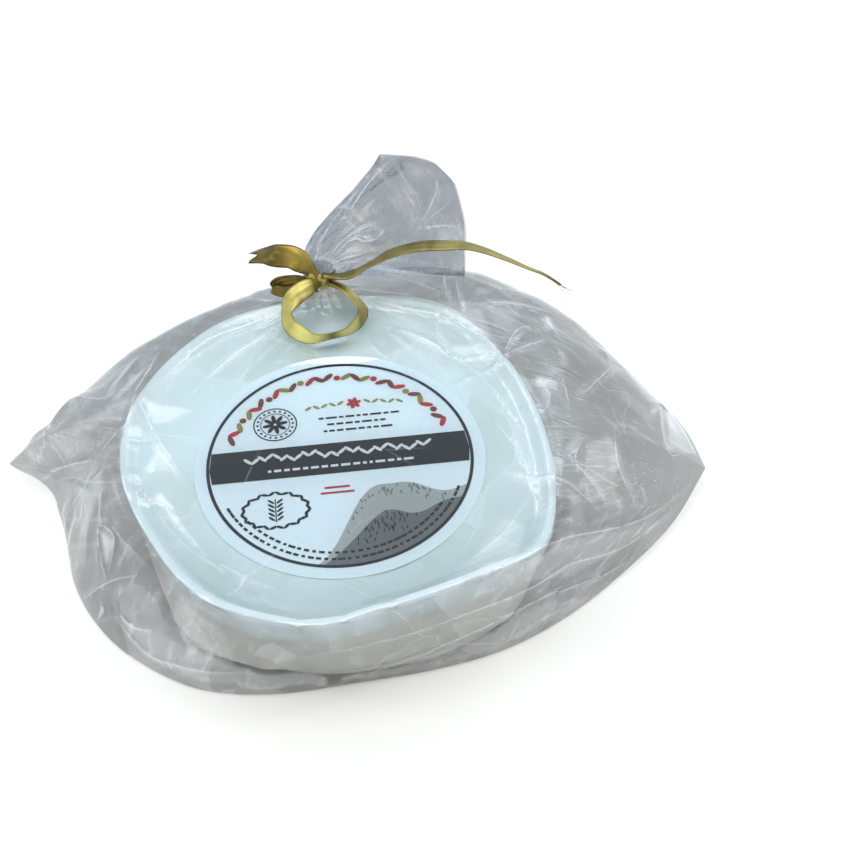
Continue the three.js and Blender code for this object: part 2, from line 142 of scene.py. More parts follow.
# Folds of the film, on the sheet laid out flat: (height, half width, points along the crest)
FOLDS = [
    # the left corner
    (1.6, 5, [(-133, 38), (-111, 34), (-102, 47), (-84, 35), (-77, 45)]),
    (1.4, 5, [(-133, 37), (-114, 29), (-88, 9)]),
    (-0.5, 3, [(-128, 34), (-112, 23), (-94, 2)]),
    (0.7, 2, [(-113, 27), (-109, 36)]),
    (1.2, 3, [(-74, 33), (-69, 44), (-64, 58)]),
    (1.0, 2, [(-83, 36), (-77, 48), (-71, 58)]),
    # a star over the left of the rim
    (0.8, 3, [(-73, 36), (-65, 16), (-55, -5)]),
    (0.8, 2, [(-73, 36), (-74, 24), (-78, 11)]),
    (0.6, 1.6, [(-78, 11), (-67, 14), (-63, 16)]),
    (0.5, 1.5, [(-67, 18), (-56, 14), (-46, 12)]),
    (0.7, 2, [(-88, 9), (-77, 17), (-74, 22)]),
    (0.8, 3, [(-68, -9), (-71, -16), (-63, -18), (-54, -23)]),
    # down the left side
    (0.8, 3, [(-85, -3), (-88, -16), (-97, -29)]),
    (1.0, 2, [(-91, -18), (-94, -38)]),
    (0.9, 2, [(-90, -18), (-81, -29), (-92, -38)]),
    (0.5, 1, [(-86, -16), (-77, -32), (-67, -45)]),
    (0.7, 1.3, [(-104, -43), (-103, -47), (-112, -46)]),
    (0.7, 1.3, [(-95, -52), (-88, -62), (-79, -67)]),
    (0.7, 2.5, [(-117, -34), (-87, -42), (-73, -47)]),
    (1.0, 2.2, [(-97, -52), (-90, -72), (-76, -84), (-63, -92), (-49, -98)]),
    # long folds that run from the right corner along the front
    (0.8, 2.2, [(-24, -97), (-7, -98), (24, -90), (45, -81), (69, -71), (87, -58), (113, -41), (139, -13)]),
    (0.8, 2.2, [(-14, -113), (4, -111), (24, -105), (43, -95), (69, -80), (94, -66), (122, -41), (133, -26)]),
    (0.5, 1.6, [(32, -88), (64, -82), (75, -77), (107, -53)]),
    (0.5, 1, [(73, -84), (73, -94)]),
    (0.5, 1, [(83, -86), (99, -74)]),
    (0.9, 2.6, [(142, -6), (120, -27), (85, -47), (61, -59), (43, -69)]),
    (0.4, 0.9, [(92, -71), (108, -56), (128, -34)]),
    # a star over the right of the rim
    (1.0, 2.5, [(66, 38), (74, 52), (82, 54)]),
    (0.8, 2, [(66, 38), (84, 46)]),
    (0.8, 2, [(66, 38), (59, 41), (48, 42), (41, 51), (27, 63)]),
    (0.8, 2.5, [(66, 38), (62, 49), (45, 72)]),
    (1.0, 3, [(43, 26), (57, 32), (65, 36)]),
    (0.6, 1.6, [(45, 70), (43, 61), (45, 51), (47, 44)]),
    (1.0, 3, [(60, 67), (63, 69), (87, 66)]),
    (0.7, 1.6, [(87, 62), (87, 56), (90, 49)]),
    # the right side
    (1.0, 3, [(74, 24), (87, 21)]),
    (0.8, 3, [(92, 16), (115, 45)]),
    (0.6, 2, [(87, 26), (87, 10)]),
    (0.9, 3.5, [(90, -4), (84, -18), (98, -29)]),
    (0.9, 3.5, [(104, 5), (104, -14), (116, -26)]),
    (0.5, 0.9, [(52, -11), (67, -23), (90, -32), (110, -34)]),
    (0.5, 0.9, [(76, -15), (94, -20), (112, -21)]),
    (0.4, 0.9, [(78, 3), (91, -2)]),
    (0.7, 1.5, [(115, -16), (120, -22)]),
    (1.0, 2.5, [(131, 33), (139, 38), (146, 9)]),
    (1.0, 2, [(138, 37), (133, 26), (129, 1), (144, 8)]),
    # behind the rim and on the lid
    (0.6, 1.2, [(20, 96), (43, 103)]),
    (1.0, 2, [(50, 101), (49, 70)]),
    (1.0, 2, [(54, 90), (54, 66)]),
    (0.5, 1.2, [(-41, 65), (-18, 74)]),
    (0.5, 1.2, [(20, 72), (41, 35)]),
    (0.5, 1.2, [(13, 61), (36, 26)]),
    (0.7, 1.6, [(-15, 71), (-34, 57), (-52, 36)]),
    (0.6, 1.2, [(-12, 67), (-27, 51), (-38, 36)]),
    (0.7, 1.6, [(-20, 75), (-45, 64), (-64, 42)]),
    (0.6, 1.0, [(-8, 66), (-14, 57), (-19, 52)]),
    (0.6, 1.0, [(4, 65), (8, 59), (12, 53)]),
    (0.7, 1.6, [(15, 70), (39, 54), (58, 28), (68, 2)]),
    (0.6, 1.2, [(21, 77), (46, 66), (63, 45)]),
    (0.6, 2.0, [(55, 14), (64, -8), (68, -34)]),
    (0.5, 1.8, [(-70, -8), (-57, -34), (-36, -56)]),
    (0.5, 1.8, [(-60, -18), (-46, -44), (-18, -65)]),
    (0.5, 1.8, [(34, -62), (52, -48), (66, -30)]),
]
# Places where the film is crinkled: (x, y, radius, spacing, height), on the flat sheet
CRINKLES = [
    (-74, 25, 13, 3.6, 0.45), (-90, -56, 16, 4.0, 0.6), (88, 57, 12, 3.6, 0.5), (24, 88, 17, 3.6, 0.5),
    (-26, 84, 18, 3.6, 0.5), (134, 20, 13, 3.8, 0.5), (112, -12, 20, 5.0, 0.5), (-102, 5, 12, 5.0, 0.5),
]
# Facets that catch the light, given as painted highlights: (strength, corners on the flat sheet, from the
# brightest one)
PANES = [
    (0.50, [(-91, -18), (-80, -30), (-94, -37)]),
    (0.48, [(-125, 42), (-115, 31), (-125, 35)]),
    (0.19, [(-109, 35), (-98, 29), (-90, 25), (-90, 15), (-110, 28), (-112, 32)]),
    (0.48, [(-71, 35), (-54, 31), (-50, 27), (-60, 21), (-67, 20)]),
    (0.40, [(-64, 13), (-54, -6), (-71, -3)]),
    (0.40, [(-62, -11), (-54, -23), (-71, -17)]),
    (0.35, [(-73, 48), (-65, 57), (-70, 44), (-78, 35), (-82, 35)]),
    (0.32, [(-74, 25), (-71, 21), (-64, 14), (-74, 10), (-78, 12)]),
    (0.50, [(-106, -42), (-102, -46), (-106, -48), (-112, -46)]),
    (0.48, [(-88, -62), (-95, -52), (-98, -53), (-93, -61)]),
    (0.45, [(138, 34), (144, 38), (149, 8), (137, 5), (127, 0), (134, 21)]),
    (0.50, [(139, 37), (128, 28), (126, 17)]),
    (0.15, [(62, 75), (81, 70), (75, 55), (66, 42), (63, 54)]),
    (0.40, [(90, 64), (83, 61), (84, 49), (91, 52)]),
    (0.35, [(75, 28), (87, 24), (85, 17), (75, 19)]),
    (0.19, [(115, 45), (124, 50), (93, 12), (89, 14)]),
    (0.24, [(101, 1), (106, -5), (104, -22), (115, -29), (100, -32), (83, -29), (90, -6)]),
    (0.19, [(140, -16), (134, -23), (90, -65), (43, -77), (41, -59), (66, -58), (120, -28)]),
    (0.16, [(52, -14), (76, -25), (87, -28), (106, -35), (61, -27)]),
    (0.29, [(66, 38), (48, 42), (41, 51), (60, 49)]),
    (0.24, [(63, 68), (66, 45), (55, 53), (46, 71)]),
    (0.19, [(20, 75), (41, 35), (50, 38), (31, 75)]),
    (0.16, [(-53, -58), (-46, -81), (-50, -95), (-71, -86), (-67, -65)]),
    (0.20, [(-17, -121), (-14, -114), (-43, -99), (-61, -84), (-76, -68), (-94, -53),
            (-97, -63), (-88, -80), (-73, -95), (-50, -110)]),
    (0.20, [(-11, -121), (-10, -115), (26, -107), (52, -94), (71, -81), (92, -72),
            (113, -60), (100, -81), (71, -99), (38, -112)]),
    (0.26, [(-16, 71), (-25, 68), (-38, 59), (-50, 45), (-43, 42), (-34, 52)]),
    (0.24, [(-13, 56), (-23, 47), (-36, 38), (-32, 35), (-20, 44)]),
    (0.29, [(16, 67), (26, 62), (41, 44), (49, 28), (44, 28), (32, 47)]),
    (0.24, [(20, 76), (38, 67), (53, 49), (61, 33), (56, 31), (43, 52)]),
    (0.22, [(70, 4), (71, -22), (69, -44), (64, -48), (64, -18)]),
    (0.22, [(54, -37), (63, -44), (57, -62), (39, -69), (24, -71), (41, -55)]),
    (0.22, [(-67, -5), (-60, -16), (-48, -37), (-50, -42), (-62, -25)]),
    (0.19, [(-44, -51), (-33, -60), (-17, -68), (-20, -72), (-36, -65)]),
]
# The same for the bag's mouth: folds, facets with painted highlights and one crinkled place. On its flat
# sheet x goes round the neck, and y goes up out of it.
MOUTH_FOLDS = [
    (1.0, 2.0, [(17, 4), (21, 22), (17, 40)]),
    (0.8, 1.5, [(24, 2), (27, 16), (36, 30), (38, 52)]),
    (0.8, 1.5, [(30, 3), (33, 13), (31, 30)]),
    (1.0, 3.0, [(40, 30), (48, 48), (50, 58)]),
    (0.9, 2.0, [(10, 12), (12, 34), (9, 56)]),
    (1.2, 1.6, [(75, 17), (74, 28), (79, 31), (78, 39)]),
    (1.0, 1.4, [(88, 9), (86, 17), (79, 20)]),
    (0.9, 1.5, [(92, 13), (96, 26), (90, 35)]),
    (1.0, 2.4, [(66, 33), (62, 50), (64, 60)]),
    (1.0, 2.0, [(84, 44), (88, 60)]),
    (0.9, 2.0, [(84, 46), (77, 61)]),
    (0.8, 1.4, [(98, 6), (101, 24), (98, 44)]),
    (0.8, 1.4, [(70, 8), (64, 20), (60, 36)]),
    (0.9, 1.2, [(76, 12), (79, 22), (85, 33)]),
    (0.8, 1.2, [(82, 14), (84, 24), (91, 36)]),
    (0.7, 1.0, [(73, 16), (72, 27), (76, 40)]),
]
MOUTH_PANES = [
    (0.18, [(81, 32), (73, 28), (75, 19), (86, 17), (93, 28), (90, 39), (79, 40)]),
    (0.20, [(74, 54), (65, 62), (79, 63)]),
    (0.12, [(88, 50), (84, 63), (94, 63), (95, 40)]),
    (0.15, [(72, 44), (70, 52), (86, 50), (84, 42)]),
    (0.30, [(103, 64), (103, 30), (97, 30), (97, 64)]),
    (0.30, [(103, 64), (103, 30), (108, 30), (108, 64)]),
]
MOUTH_CRINKLE = (54, 12, 60, 5.0, 0.5)

# Tub and cover, in mm
WALL_TOP = 41.0
LIP_INSIDE = 2.2  # how far the wall's top stays inside the covered rim
# The tub's section from the lip's inside to its foot ring, as (height, how far outside the wall's line)
TUB_PROFILE = [
    (WALL_TOP - 3, -3.0), (WALL_TOP - 1.2, -2.6), (WALL_TOP - 0.6, -1.4), (WALL_TOP - 0.9, -0.2),
    (WALL_TOP - 2.4, 0.1), (WALL_TOP - 3.4, -0.5), (WALL_TOP - 5, -1.3), (30, -1.2), (18, -1.1),
    (8, -1.0), (3.2, -1.1), (1.2, -1.6), (0.6, -2.6), (0.6, -4.4), (1.8, -5.4), (2.4, -7),
]
COVER_GAP = 0.6  # how far the cover stays under the film
COVER_TURN = 0.985  # share of the way to the rim at which the cover turns down
COVER_DROP = 1.6  # how much lower than the film's rim it is there
# Places where the cover's rim is pinched: (degrees, half width in degrees, how deep in mm)
RIM_PINCHES = [
    (-125, 4.0, 1.9), (-137, 2.2, 1.8), (-103, 2.0, 2.4), (-92, 1.6, 1.5), (-80, 1.6, 1.9),
    (-45, 3.0, 1.2), (150, 3.0, 0.8), (31, 2.5, 0.7),
]
# Slow waves of the cover's skirt, as (waves to a turn, height)
SKIRT_WAVES = ((5, 0.25), (9, 0.22), (14, 0.2), (23, 0.14), (37, 0.1))
RIM_HIGHLIGHT_BEHIND = 0.15  # how strong the rim's painted highlight is behind and at the sides, next to 1 in front
SKIRT_HEM = 7.0

# Ribbon, in mm
RIBBON_WIDTH = 9.0
RIBBON_THICKNESS = 0.3
KNOT_PINCH = 0.55  # share of its width that the ribbon keeps where it leaves the knot
PINCH_LENGTH = 10.0
# Routes of the ribbon: a point, then the line across the ribbon there
LOOP_ROUTE = [
    (0.5, 77, 55.5, 0.3, -0.2, -0.9), (-5, 73, 56, 0.46, -0.66, -0.6), (-11, 69.5, 54, 0.67, -0.7, -0.33),
    (-14, 66.5, 50, 0.57, -0.75, 0.46), (-13.5, 62.5, 46.5, 0.66, -0.33, 0.7),
    (-9.5, 58.5, 45, 0.42, -0.03, 0.9), (-4, 55.5, 44.5, 0.08, -0.35, 0.91),
    (2.5, 56, 44.5, -0.04, -0.5, 0.84), (8.5, 57.5, 45, -0.16, -0.46, 0.84),
    (13.5, 62, 46, -0.38, -0.44, 0.77), (15, 66.5, 47.5, -0.49, -0.7, 0.5),
    (12.5, 71, 49.5, -0.36, -0.85, 0.4), (9, 74.5, 52, -0.33, -0.91, 0.31),
    (3, 76, 54.5, -0.33, -0.94, 0.23),
]
LEFT_TAIL_ROUTE = [
    (-1, 77, 57.5, -0.33, 0.39, -0.83), (-5, 80, 60.5, -0.54, -0.08, -0.81),
    (-10, 83, 63, -0.43, -0.62, -0.65), (-15, 84, 63.5, -0.17, -0.69, -0.7),
    (-20.5, 85.5, 63, 0.01, -1, -0.11), (-27, 85.5, 62.5, 0.08, -1, 0.25),
]
SHORT_LOOP_ROUTE = [
    (-1, 77, 54, 0, 0.3, 1), (-9, 80.5, 53.5, 0, 0.3, 1), (-17, 83, 51, 0, 0.3, 1),
    (-19, 81.5, 50, 0, 0.3, 1), (-16, 80, 49, 0, 0.3, 1), (-8, 78, 50.5, 0, 0.3, 1),
    (-1, 76, 52, 0, 0.3, 1),
]
RIGHT_TAIL_ROUTE = [
    (1, 77, 57, 0, 0.95, -0.3), (10.5, 76.5, 57, -0.06, 0.95, -0.27), (17.5, 78, 59, -0.08, 0.93, -0.43),
    (22.5, 79, 61, -0.1, 0.98, -0.33), (28.5, 79.5, 63.5, -0.07, 1, -0.19), (39, 79, 66, 0, 1, -0.11),
    (47.5, 76, 68, 0.12, 1, -0.05), (56.5, 74, 68.5, 0.2, 1, -0.12), (63.5, 72, 67, 0.29, 0.99, -0.22),
    (71.5, 69.5, 64, 0.3, 0.94, -0.34), (80, 67.5, 60, 0.26, 0.89, -0.45),
    (86, 66.5, 57, 0.24, 0.84, -0.52), (92.5, 64.5, 52.5, 0.22, 0.8, -0.58),
]
KNOT = (-1.0, 77.5, 55.0)
KNOT_SIZE = (4.6, 2.9, 3.9)  # half of its length, depth and height
KNOT_TILT = 0.5
# how light the knot's satin is painted, as painted highlight
KNOT_SHEEN = 0.25
# Loose threads: how far along the long tail's last stretch each starts, its length, and how it leans
THREADS = [
    (0.55, 11, (0.0, -0.25, -0.55)), (0.9, 6, (0.1, 0.3, -0.2)), (1.0, 5, (0.2, -0.2, 0.1)),
    (0.97, 5, (0.0, 0.1, -0.3)),
]
THREAD_RADIUS = 0.14
# How light the satin's colour is painted, as painted highlight and shade, as (share of the piece's length
# from the knot, how light)
EVEN_SHEEN = [(0, 0.5), (1, 0.5)]
LOOP_SHEEN = [
    (0, 0), (0.05, 0.1), (0.09, 0.4), (0.16, 0.25), (0.26, 0.55), (0.33, 0.7), (0.4, 1.1), (0.47, 0.9),
    (0.52, 0.2), (0.6, 0.5), (0.7, 0.35), (0.8, 0.55), (0.89, 0.6), (0.95, 0.1), (1, 0),
]
LEFT_TAIL_SHEEN = [
    (0, 0.5), (0.25, 0.75), (0.4, 0.9), (0.55, 0.35), (0.75, 0.15), (0.9, 0.45), (1, 0.1),
]
RIGHT_TAIL_SHEEN = [
    (0, 0.3), (0.12, 0.25), (0.25, 0.45), (0.4, 0.35), (0.5, 0.5), (0.62, 0.75), (0.75, 0.6), (0.88, 0.4),
    (1, 0.1),
]

# Label, in mm from its middle unless it says otherwise
LABEL_CENTRE = (0.9, -2.5, 36.6)
LABEL_RADIUS = 52.4
LABEL_TILT = math.radians(3.0)
RING_RADIUS = 48.0
RING_WIDTH = 1.2
FIELD_RADIUS = RING_RADIUS - RING_WIDTH
STRIPE_LOW = -6.2
STRIPE_HIGH = 8.2
FLOWER = (7.0, 27.0)
ROSETTE = (-22.5, 19.8)
WREATH = (-24.0, -20.5)

# Colours
FLOOR_COLOR = (0.87, 0.868, 0.86, 1)
ROOM_IN_FRONT = (0.86, 0.84, 0.80, 1)
ROOM_BEHIND = (0.84, 0.94, 1.02, 1)
FILM_GLOSS = (0.95, 0.97, 1.0, 1)
TOP_TINT = (0.75, 0.783, 0.80, 1)
UNDER_TINT = (0.545, 0.522, 0.50, 1)  # the ply on the table looks greyer, as does all that is seen through it
MOUTH_TINT = (0.545, 0.562, 0.585, 1)  # several plies lie on each other there
TUB_COLORS = ((0.80, 0.80, 0.77, 1), (0.72, 0.72, 0.69, 1))
COVER_COLORS = ((0.83, 0.925, 0.95, 1), (0.69, 0.775, 0.75, 1))
# A painted highlight on the cover's rim
RIM_HIGHLIGHT_COLOR = (0.88, 0.95, 0.98, 1)
# Painted shade down the cover's side, darker and warmer lower down
SKIRT_SHADE_COLOR = (0.77, 0.76, 0.715, 1)
SHADED_COLOR = (0.57, 0.67, 0.66, 1)
PAPER_COLOR = (0.84, 0.95, 1.0, 1)
# Each ink's colour, and how far over the label's plane it lies, in mm
INKS = {
    "black": ((0.012, 0.014, 0.016, 1), 0.38),
    "white": ((0.82, 0.86, 0.88, 1), 0.42),
    "grey": ((0.16, 0.17, 0.17, 1), 0.34),
    "pale_grey": ((0.42, 0.45, 0.44, 1), 0.30),
    "red": ((0.5, 0.03, 0.03, 1), 0.38),
    "brown": ((0.2, 0.05, 0.03, 1), 0.38),
    "olive": ((0.3, 0.27, 0.06, 1), 0.38),
}
# Each satin's colour on its painted shade side and on its painted highlight side. The three are one satin
# painted lit, half in shade and in shade.
LIT_SATIN = ((0.13, 0.095, 0.012, 1), (1.0, 0.90, 0.30, 1))
HALF_SHADED_SATIN = ((0.11, 0.085, 0.016, 1), (0.48, 0.42, 0.15, 1))
SHADED_SATIN = ((0.055, 0.038, 0.008, 1), (0.36, 0.27, 0.05, 1))

# The room, in metres except for the floor's reach
FLOOR_REACH = 4000.0
ROOM_STRENGTH = 0.9
LIGHTS_AIM = (0, 0, 0.03)
# Lights as (name, place, width, height, brightness, colour)
LIGHTS = [
    ("window left", (-0.6, 1.05, 1.1), 0.5, 0.5, 2.1, (0.84, 0.93, 1.0)),
    ("window right", (0.85, 1.05, 1.0), 0.45, 0.5, 2.5, (0.86, 0.94, 1.0)),
    ("low window left", (-1.3, 0.9, 0.5), 0.4, 0.4, 1.1, (0.9, 0.96, 1.0)),
    ("strip left", (-1.0, 0.2, 1.1), 0.1, 0.8, 6.0, (1, 1, 1)),
    ("strip right", (0.95, 0.15, 1.2), 0.1, 0.7, 6.0, (1, 1, 1)),
    ("warm front", (0.1, -1.3, 0.7), 0.8, 0.5, 1.8, (1.0, 0.94, 0.84)),
    ("overhead", (0.0, 0.0, 1.8), 1.5, 1.0, 2.4, (1, 1, 1)),
]


# Curves and meshes

def unit(vector):
    vector = np.asarray(vector, float)
    return vector / np.linalg.norm(vector)


def smoothstep(low, high, value):
    share = np.clip((value - low) / (high - low), 0, 1)
    return share * share * (3 - 2 * share)


def mix(first, second, share):
    return first + (second - first) * share


def curve_through(points, per_span=12, closed=False):
    """Points along a smooth curve through the given ones, spaced by the square root of their gaps."""
    points = np.asarray(points, float)
    count = len(points)
    if closed:
        padded = np.vstack([points[-1], points, points[0], points[1]])
        spans = count
    else:
        padded = np.vstack([2 * points[0] - points[1], points, 2 * points[-1] - points[-2]])
        spans = count - 1
    made = []
    for span in range(spans):
        a, b, c, d = padded[span:span + 4]
        gaps = [math.sqrt(max(np.linalg.norm(q - p), 1e-4)) for p, q in ((a, b), (b, c), (c, d))]
        leaving = (b - a) / gaps[0] - (c - a) / (gaps[0] + gaps[1]) + (c - b) / gaps[1]
        arriving = (c - b) / gaps[1] - (d - b) / (gaps[1] + gaps[2]) + (d - c) / gaps[2]
        leaving = leaving * gaps[1]
        arriving = arriving * gaps[1]
        for step in range(per_span):
            t = step / per_span
            made.append(b + leaving * t + (3 * (c - b) - 2 * leaving - arriving) * t ** 2
                        + (2 * (b - c) + leaving + arriving) * t ** 3)
    if not closed:
        made.append(points[-1])
    return np.array(made)


def plan_curve(plan, per_span):
    """A closed curve through points given as (degrees, radius)."""
    return curve_through([
        (r * math.cos(math.radians(a)), r * math.sin(math.radians(a)), 0) for a, r in plan],
        per_span, closed=True)


def disc(centre, radius, count):
    turns = np.linspace(0, 2 * math.pi, count + 1)[:-1]
    return np.stack([centre[0] + radius * np.cos(turns), centre[1] + radius * np.sin(turns)], axis=1)


def ring_at(angles, radius, height):
    """A ring of points round the tub's middle."""
    return np.stack([radius * np.cos(angles), radius * np.sin(angles),
                     np.broadcast_to(height, angles.shape)], axis=1)


def add_object(name, points, faces, material, smooth=True):
    """A mesh object from points in mm."""
    mesh = bpy.data.meshes.new(name)
    mesh.from_pydata((np.asarray(points) * MM).tolist(), [], [list(map(int, face)) for face in faces])
    mesh.update()
    mesh.materials.append(material)
    mesh.polygons.foreach_set("use_smooth", [smooth] * len(mesh.polygons))
    thing = bpy.data.objects.new(name, mesh)
    bpy.context.scene.collection.objects.link(thing)
    return thing


def vertex_normals(points, triangles):
    a, b, c = (points[triangles[:, i]] for i in range(3))
    face = np.cross(b - a, c - a)
    normals = np.zeros_like(points)
    for i in range(3):
        np.add.at(normals, triangles[:, i], face)
    return normals / np.maximum(np.linalg.norm(normals, axis=1, keepdims=True), 1e-12)


def set_mark(thing, name, values):
    """A number on each point of a mesh, which its material reads."""
    mark = thing.data.attributes.new(name, "FLOAT", "POINT")
    mark.data.foreach_set("value", np.asarray(values, dtype=np.float32))


def set_uvs(thing, uvs):
    layer = thing.data.uv_layers.new(name="along")
    for loop in thing.data.loops:
        layer.data[loop.index].uv = uvs[loop.vertex_index]


def grid_faces(rows, columns, closed=False, first=0, turned_over=False):
    """Four-sided faces between rows of points, and between a row's last and first where it is closed."""
    faces = []
    for row in range(rows - 1):
        for column in range(columns if closed else columns - 1):
            here = first + row * columns + column
            after = first + row * columns + (column + 1) % columns
            corners = (here, after, after + columns, here + columns)
            faces.append((corners[0],) + corners[:0:-1] if turned_over else corners)
    return faces


def polar_mesh(name, rings, material):
    """A mesh through rings of points, from a point in the middle outwards."""
    count = len(rings[0])
    points = np.vstack([rings[0].mean(axis=0)[None, :]] + list(rings))
    faces = [(0, 1 + i, 1 + (i + 1) % count) for i in range(count)]
    faces += grid_faces(len(rings), count, closed=True, first=1, turned_over=True)
    return add_object(name, points, faces, material)


# The form of the film

# Columns of the tables that by_angle makes
RADIUS = 1
HEIGHT = 2
ACROSS = 3
FALL_STEPS = 48


def by_angle(points):
    """Angles, radii, heights and y of plan points, sorted for looking up by angle."""
    angles = np.arctan2(points[:, 1], points[:, 0])
    order = np.argsort(angles)
    radii = np.hypot(points[:, 0], points[:, 1])
    return angles[order], radii[order], points[order, 2], points[order, 1]


RIM = by_angle(plan_curve(RIM_PLAN, 40))
FOOT = by_angle(plan_curve(FOOT_PLAN, 30))
EDGE = by_angle(np.vstack([curve_through(FRONT_EDGE, 40)[:-1], curve_through(BACK_EDGE, 40)[:-1]]))


def look_up(table, column, angles):
    return np.interp(angles, table[0], table[column], period=2 * math.pi)


def side_of_film(angles):
    """The rim and the edge that the film's side joins: radii, the edge's height and the side's bulge."""
    rim = look_up(RIM, RADIUS, angles)
    reach = look_up(EDGE, RADIUS, angles)
    foot = look_up(EDGE, HEIGHT, angles) - EDGE_THICKNESS / 2
    bulge = mix(FRONT_BULGE, BACK_BULGE, smoothstep(*BULGE_CHANGE, look_up(EDGE, ACROSS, angles)))
    return rim, reach, foot, bulge


def fall_table():
    """Lengths down the film's sides, and the fall for each share of that length, angle by angle."""
    angles = np.linspace(-math.pi, math.pi, 721)
    rim, reach, foot, bulge = (values[:, None] for values in side_of_film(angles))
    shares = np.linspace(0, 1, FALL_STEPS + 1)
    across = mix(rim, reach, shares[None, :])
    down = mix(SIDE_TOP, foot, shares[None, :] ** bulge)
    lengths = np.cumsum(np.hypot(np.diff(across, axis=1), np.diff(down, axis=1)), axis=1)
    lengths = np.hstack([np.zeros((len(angles), 1)), lengths])
    falls_at = np.array([np.interp(shares, row / row[-1], shares) for row in lengths])
    return angles, lengths[:, -1], falls_at


FALL_ANGLES, FALL_LENGTHS, FALLS_AT = fall_table()


def side_length(angles):
    return np.interp(angles, FALL_ANGLES, FALL_LENGTHS)


def fall_at(angles, share):
    """The fall at a share of the way down the film's side."""
    column = np.clip(share, 0, 1) * FALL_STEPS
    row = (angles + math.pi) / (2 * math.pi) * (len(FALL_ANGLES) - 1)
    r = np.clip(row.astype(int), 0, len(FALL_ANGLES) - 2)
    c = np.clip(column.astype(int), 0, FALL_STEPS - 1)
    before = mix(FALLS_AT[r, c], FALLS_AT[r, c + 1], column - c)
    after = mix(FALLS_AT[r + 1, c], FALLS_AT[r + 1, c + 1], column - c)
    return mix(before, after, row - r)


def film_point(flat):
    """Where a point of the film laid out flat, in mm from the middle of the lid, comes to lie."""
    angles = np.arctan2(flat[:, 1], flat[:, 0])
    along = np.hypot(flat[:, 0], flat[:, 1])
    rim, reach, foot, bulge = side_of_film(angles)
    share = np.clip(along / rim, 0, 1)
    lid = RIM_HEIGHT - COVER_DIP + np.interp(share, LID_SHARES, LID_HEIGHTS)
    fall = fall_at(angles, (along - rim) / side_length(angles))
    side = mix(SIDE_TOP, foot, fall ** bulge)
    inside = along <= rim
    radius = np.where(inside, along, mix(rim, reach, fall))
    x = radius * np.cos(angles)
    y = radius * np.sin(angles)
    from_top = np.hypot(x - TIE[0], y - TIE[1] + TENT_FORWARD)
    tent = TENT_RISE * np.clip(1 - from_top / TENT_REACH, 0, 1) ** TENT_CURVE
    z = np.where(inside, lid + tent, side + tent * (1 - fall))
    from_tie = np.hypot(x - TIE[0], y - TIE[1])
    neck_low = TIE[2] - BAND_WIDTH / 2 - BAND_MARGIN
    depth = (np.maximum(from_tie - NECK_RADIUS + NECK_OVERLAP, 0) / NECK_FLARE) ** (1 / NECK_CURVE)
    flare = neck_low - NECK_DEPTH * depth
    lifted = (z + flare + np.hypot(z - flare, NECK_BLEND)) / 2
    z = np.where(from_tie < NECK_REACH, lifted, z)
    return np.stack([x, y, z], axis=1)


# Folded sheets of film

def along_path(path, spacing):
    """Points at even gaps along a path of straight pieces."""
    path = np.asarray(path, float)
    lengths = np.concatenate([[0], np.cumsum(np.linalg.norm(np.diff(path, axis=0), axis=1))])
    count = max(2, int(round(lengths[-1] / spacing)) + 1)
    at = np.linspace(0, lengths[-1], count)
    return np.stack([np.interp(at, lengths, path[:, i]) for i in range(path.shape[1])], axis=1)


def smooth_path(path):
    return curve_through(path, 10) if len(path) > 2 else np.asarray(path, float)


def beside(path, distance):
    """A path at a distance to the left of another."""
    way = np.gradient(path, axis=0)
    way /= np.maximum(np.linalg.norm(way, axis=1, keepdims=True), 1e-9)
    offset = np.stack([-way[:, 1], way[:, 0]], axis=1)
    return path + offset * np.asarray(distance)[:, None]


def fold_lines(folds, spacing):
    """Each fold as lines of (x, y, height, sharpness): its crest and the foot on both sides."""
    lines = []
    for height, width, path in folds:
        crest = along_path(smooth_path(path), spacing)
        share = np.linspace(0, 1, len(crest))
        taper = np.sin(np.pi * np.clip(0.06 + 0.88 * share, 0, 1)) ** 0.6
        sharp = np.full(len(crest), min(1.0, 1.4 * abs(height)))
        lines.append(np.column_stack([crest, height * taper, sharp * taper]))
        for side in (-1, 1):
            foot = beside(crest, side * width * (0.3 + 0.7 * taper))
            lines.append(np.column_stack([foot, np.zeros(len(crest)), np.zeros(len(crest))]))
    return lines


def tapered_height(crest, share):
    """The height of a pleat's crest, or of the hollow beside it, at a share of its length."""
    return (PLEAT_HEIGHT if crest else -0.6 * PLEAT_HEIGHT) * (1 - share) ** 0.7


def tie_pleats(draw):
    """Pleats that run from the tie over the film, as lines of (x, y, height, sharpness)."""
    lines = []
    count = 2 * PLEATS
    for step in range(count):
        crest = step % 2 == 0
        angle = 2 * math.pi * (step + draw.uniform(-0.2, 0.2)) / count
        reach = draw.uniform(14, 42) if crest else draw.uniform(9, 20)
        bend = draw.uniform(-0.15, 0.15)
        away = along_path([(HOLE_RADIUS + 0.05, 0), (reach, 0)], 2.0)[:, 0]
        share = (away - away[0]) / (away[-1] - away[0])
        turn = angle + bend * share ** 2
        lines.append(np.column_stack([
            FLAT_TIE[0] + away * np.cos(turn), FLAT_TIE[1] + away * np.sin(turn),
            tapered_height(crest, share), (0.8 if crest else 0.0) * (1 - share)]))
    return lines


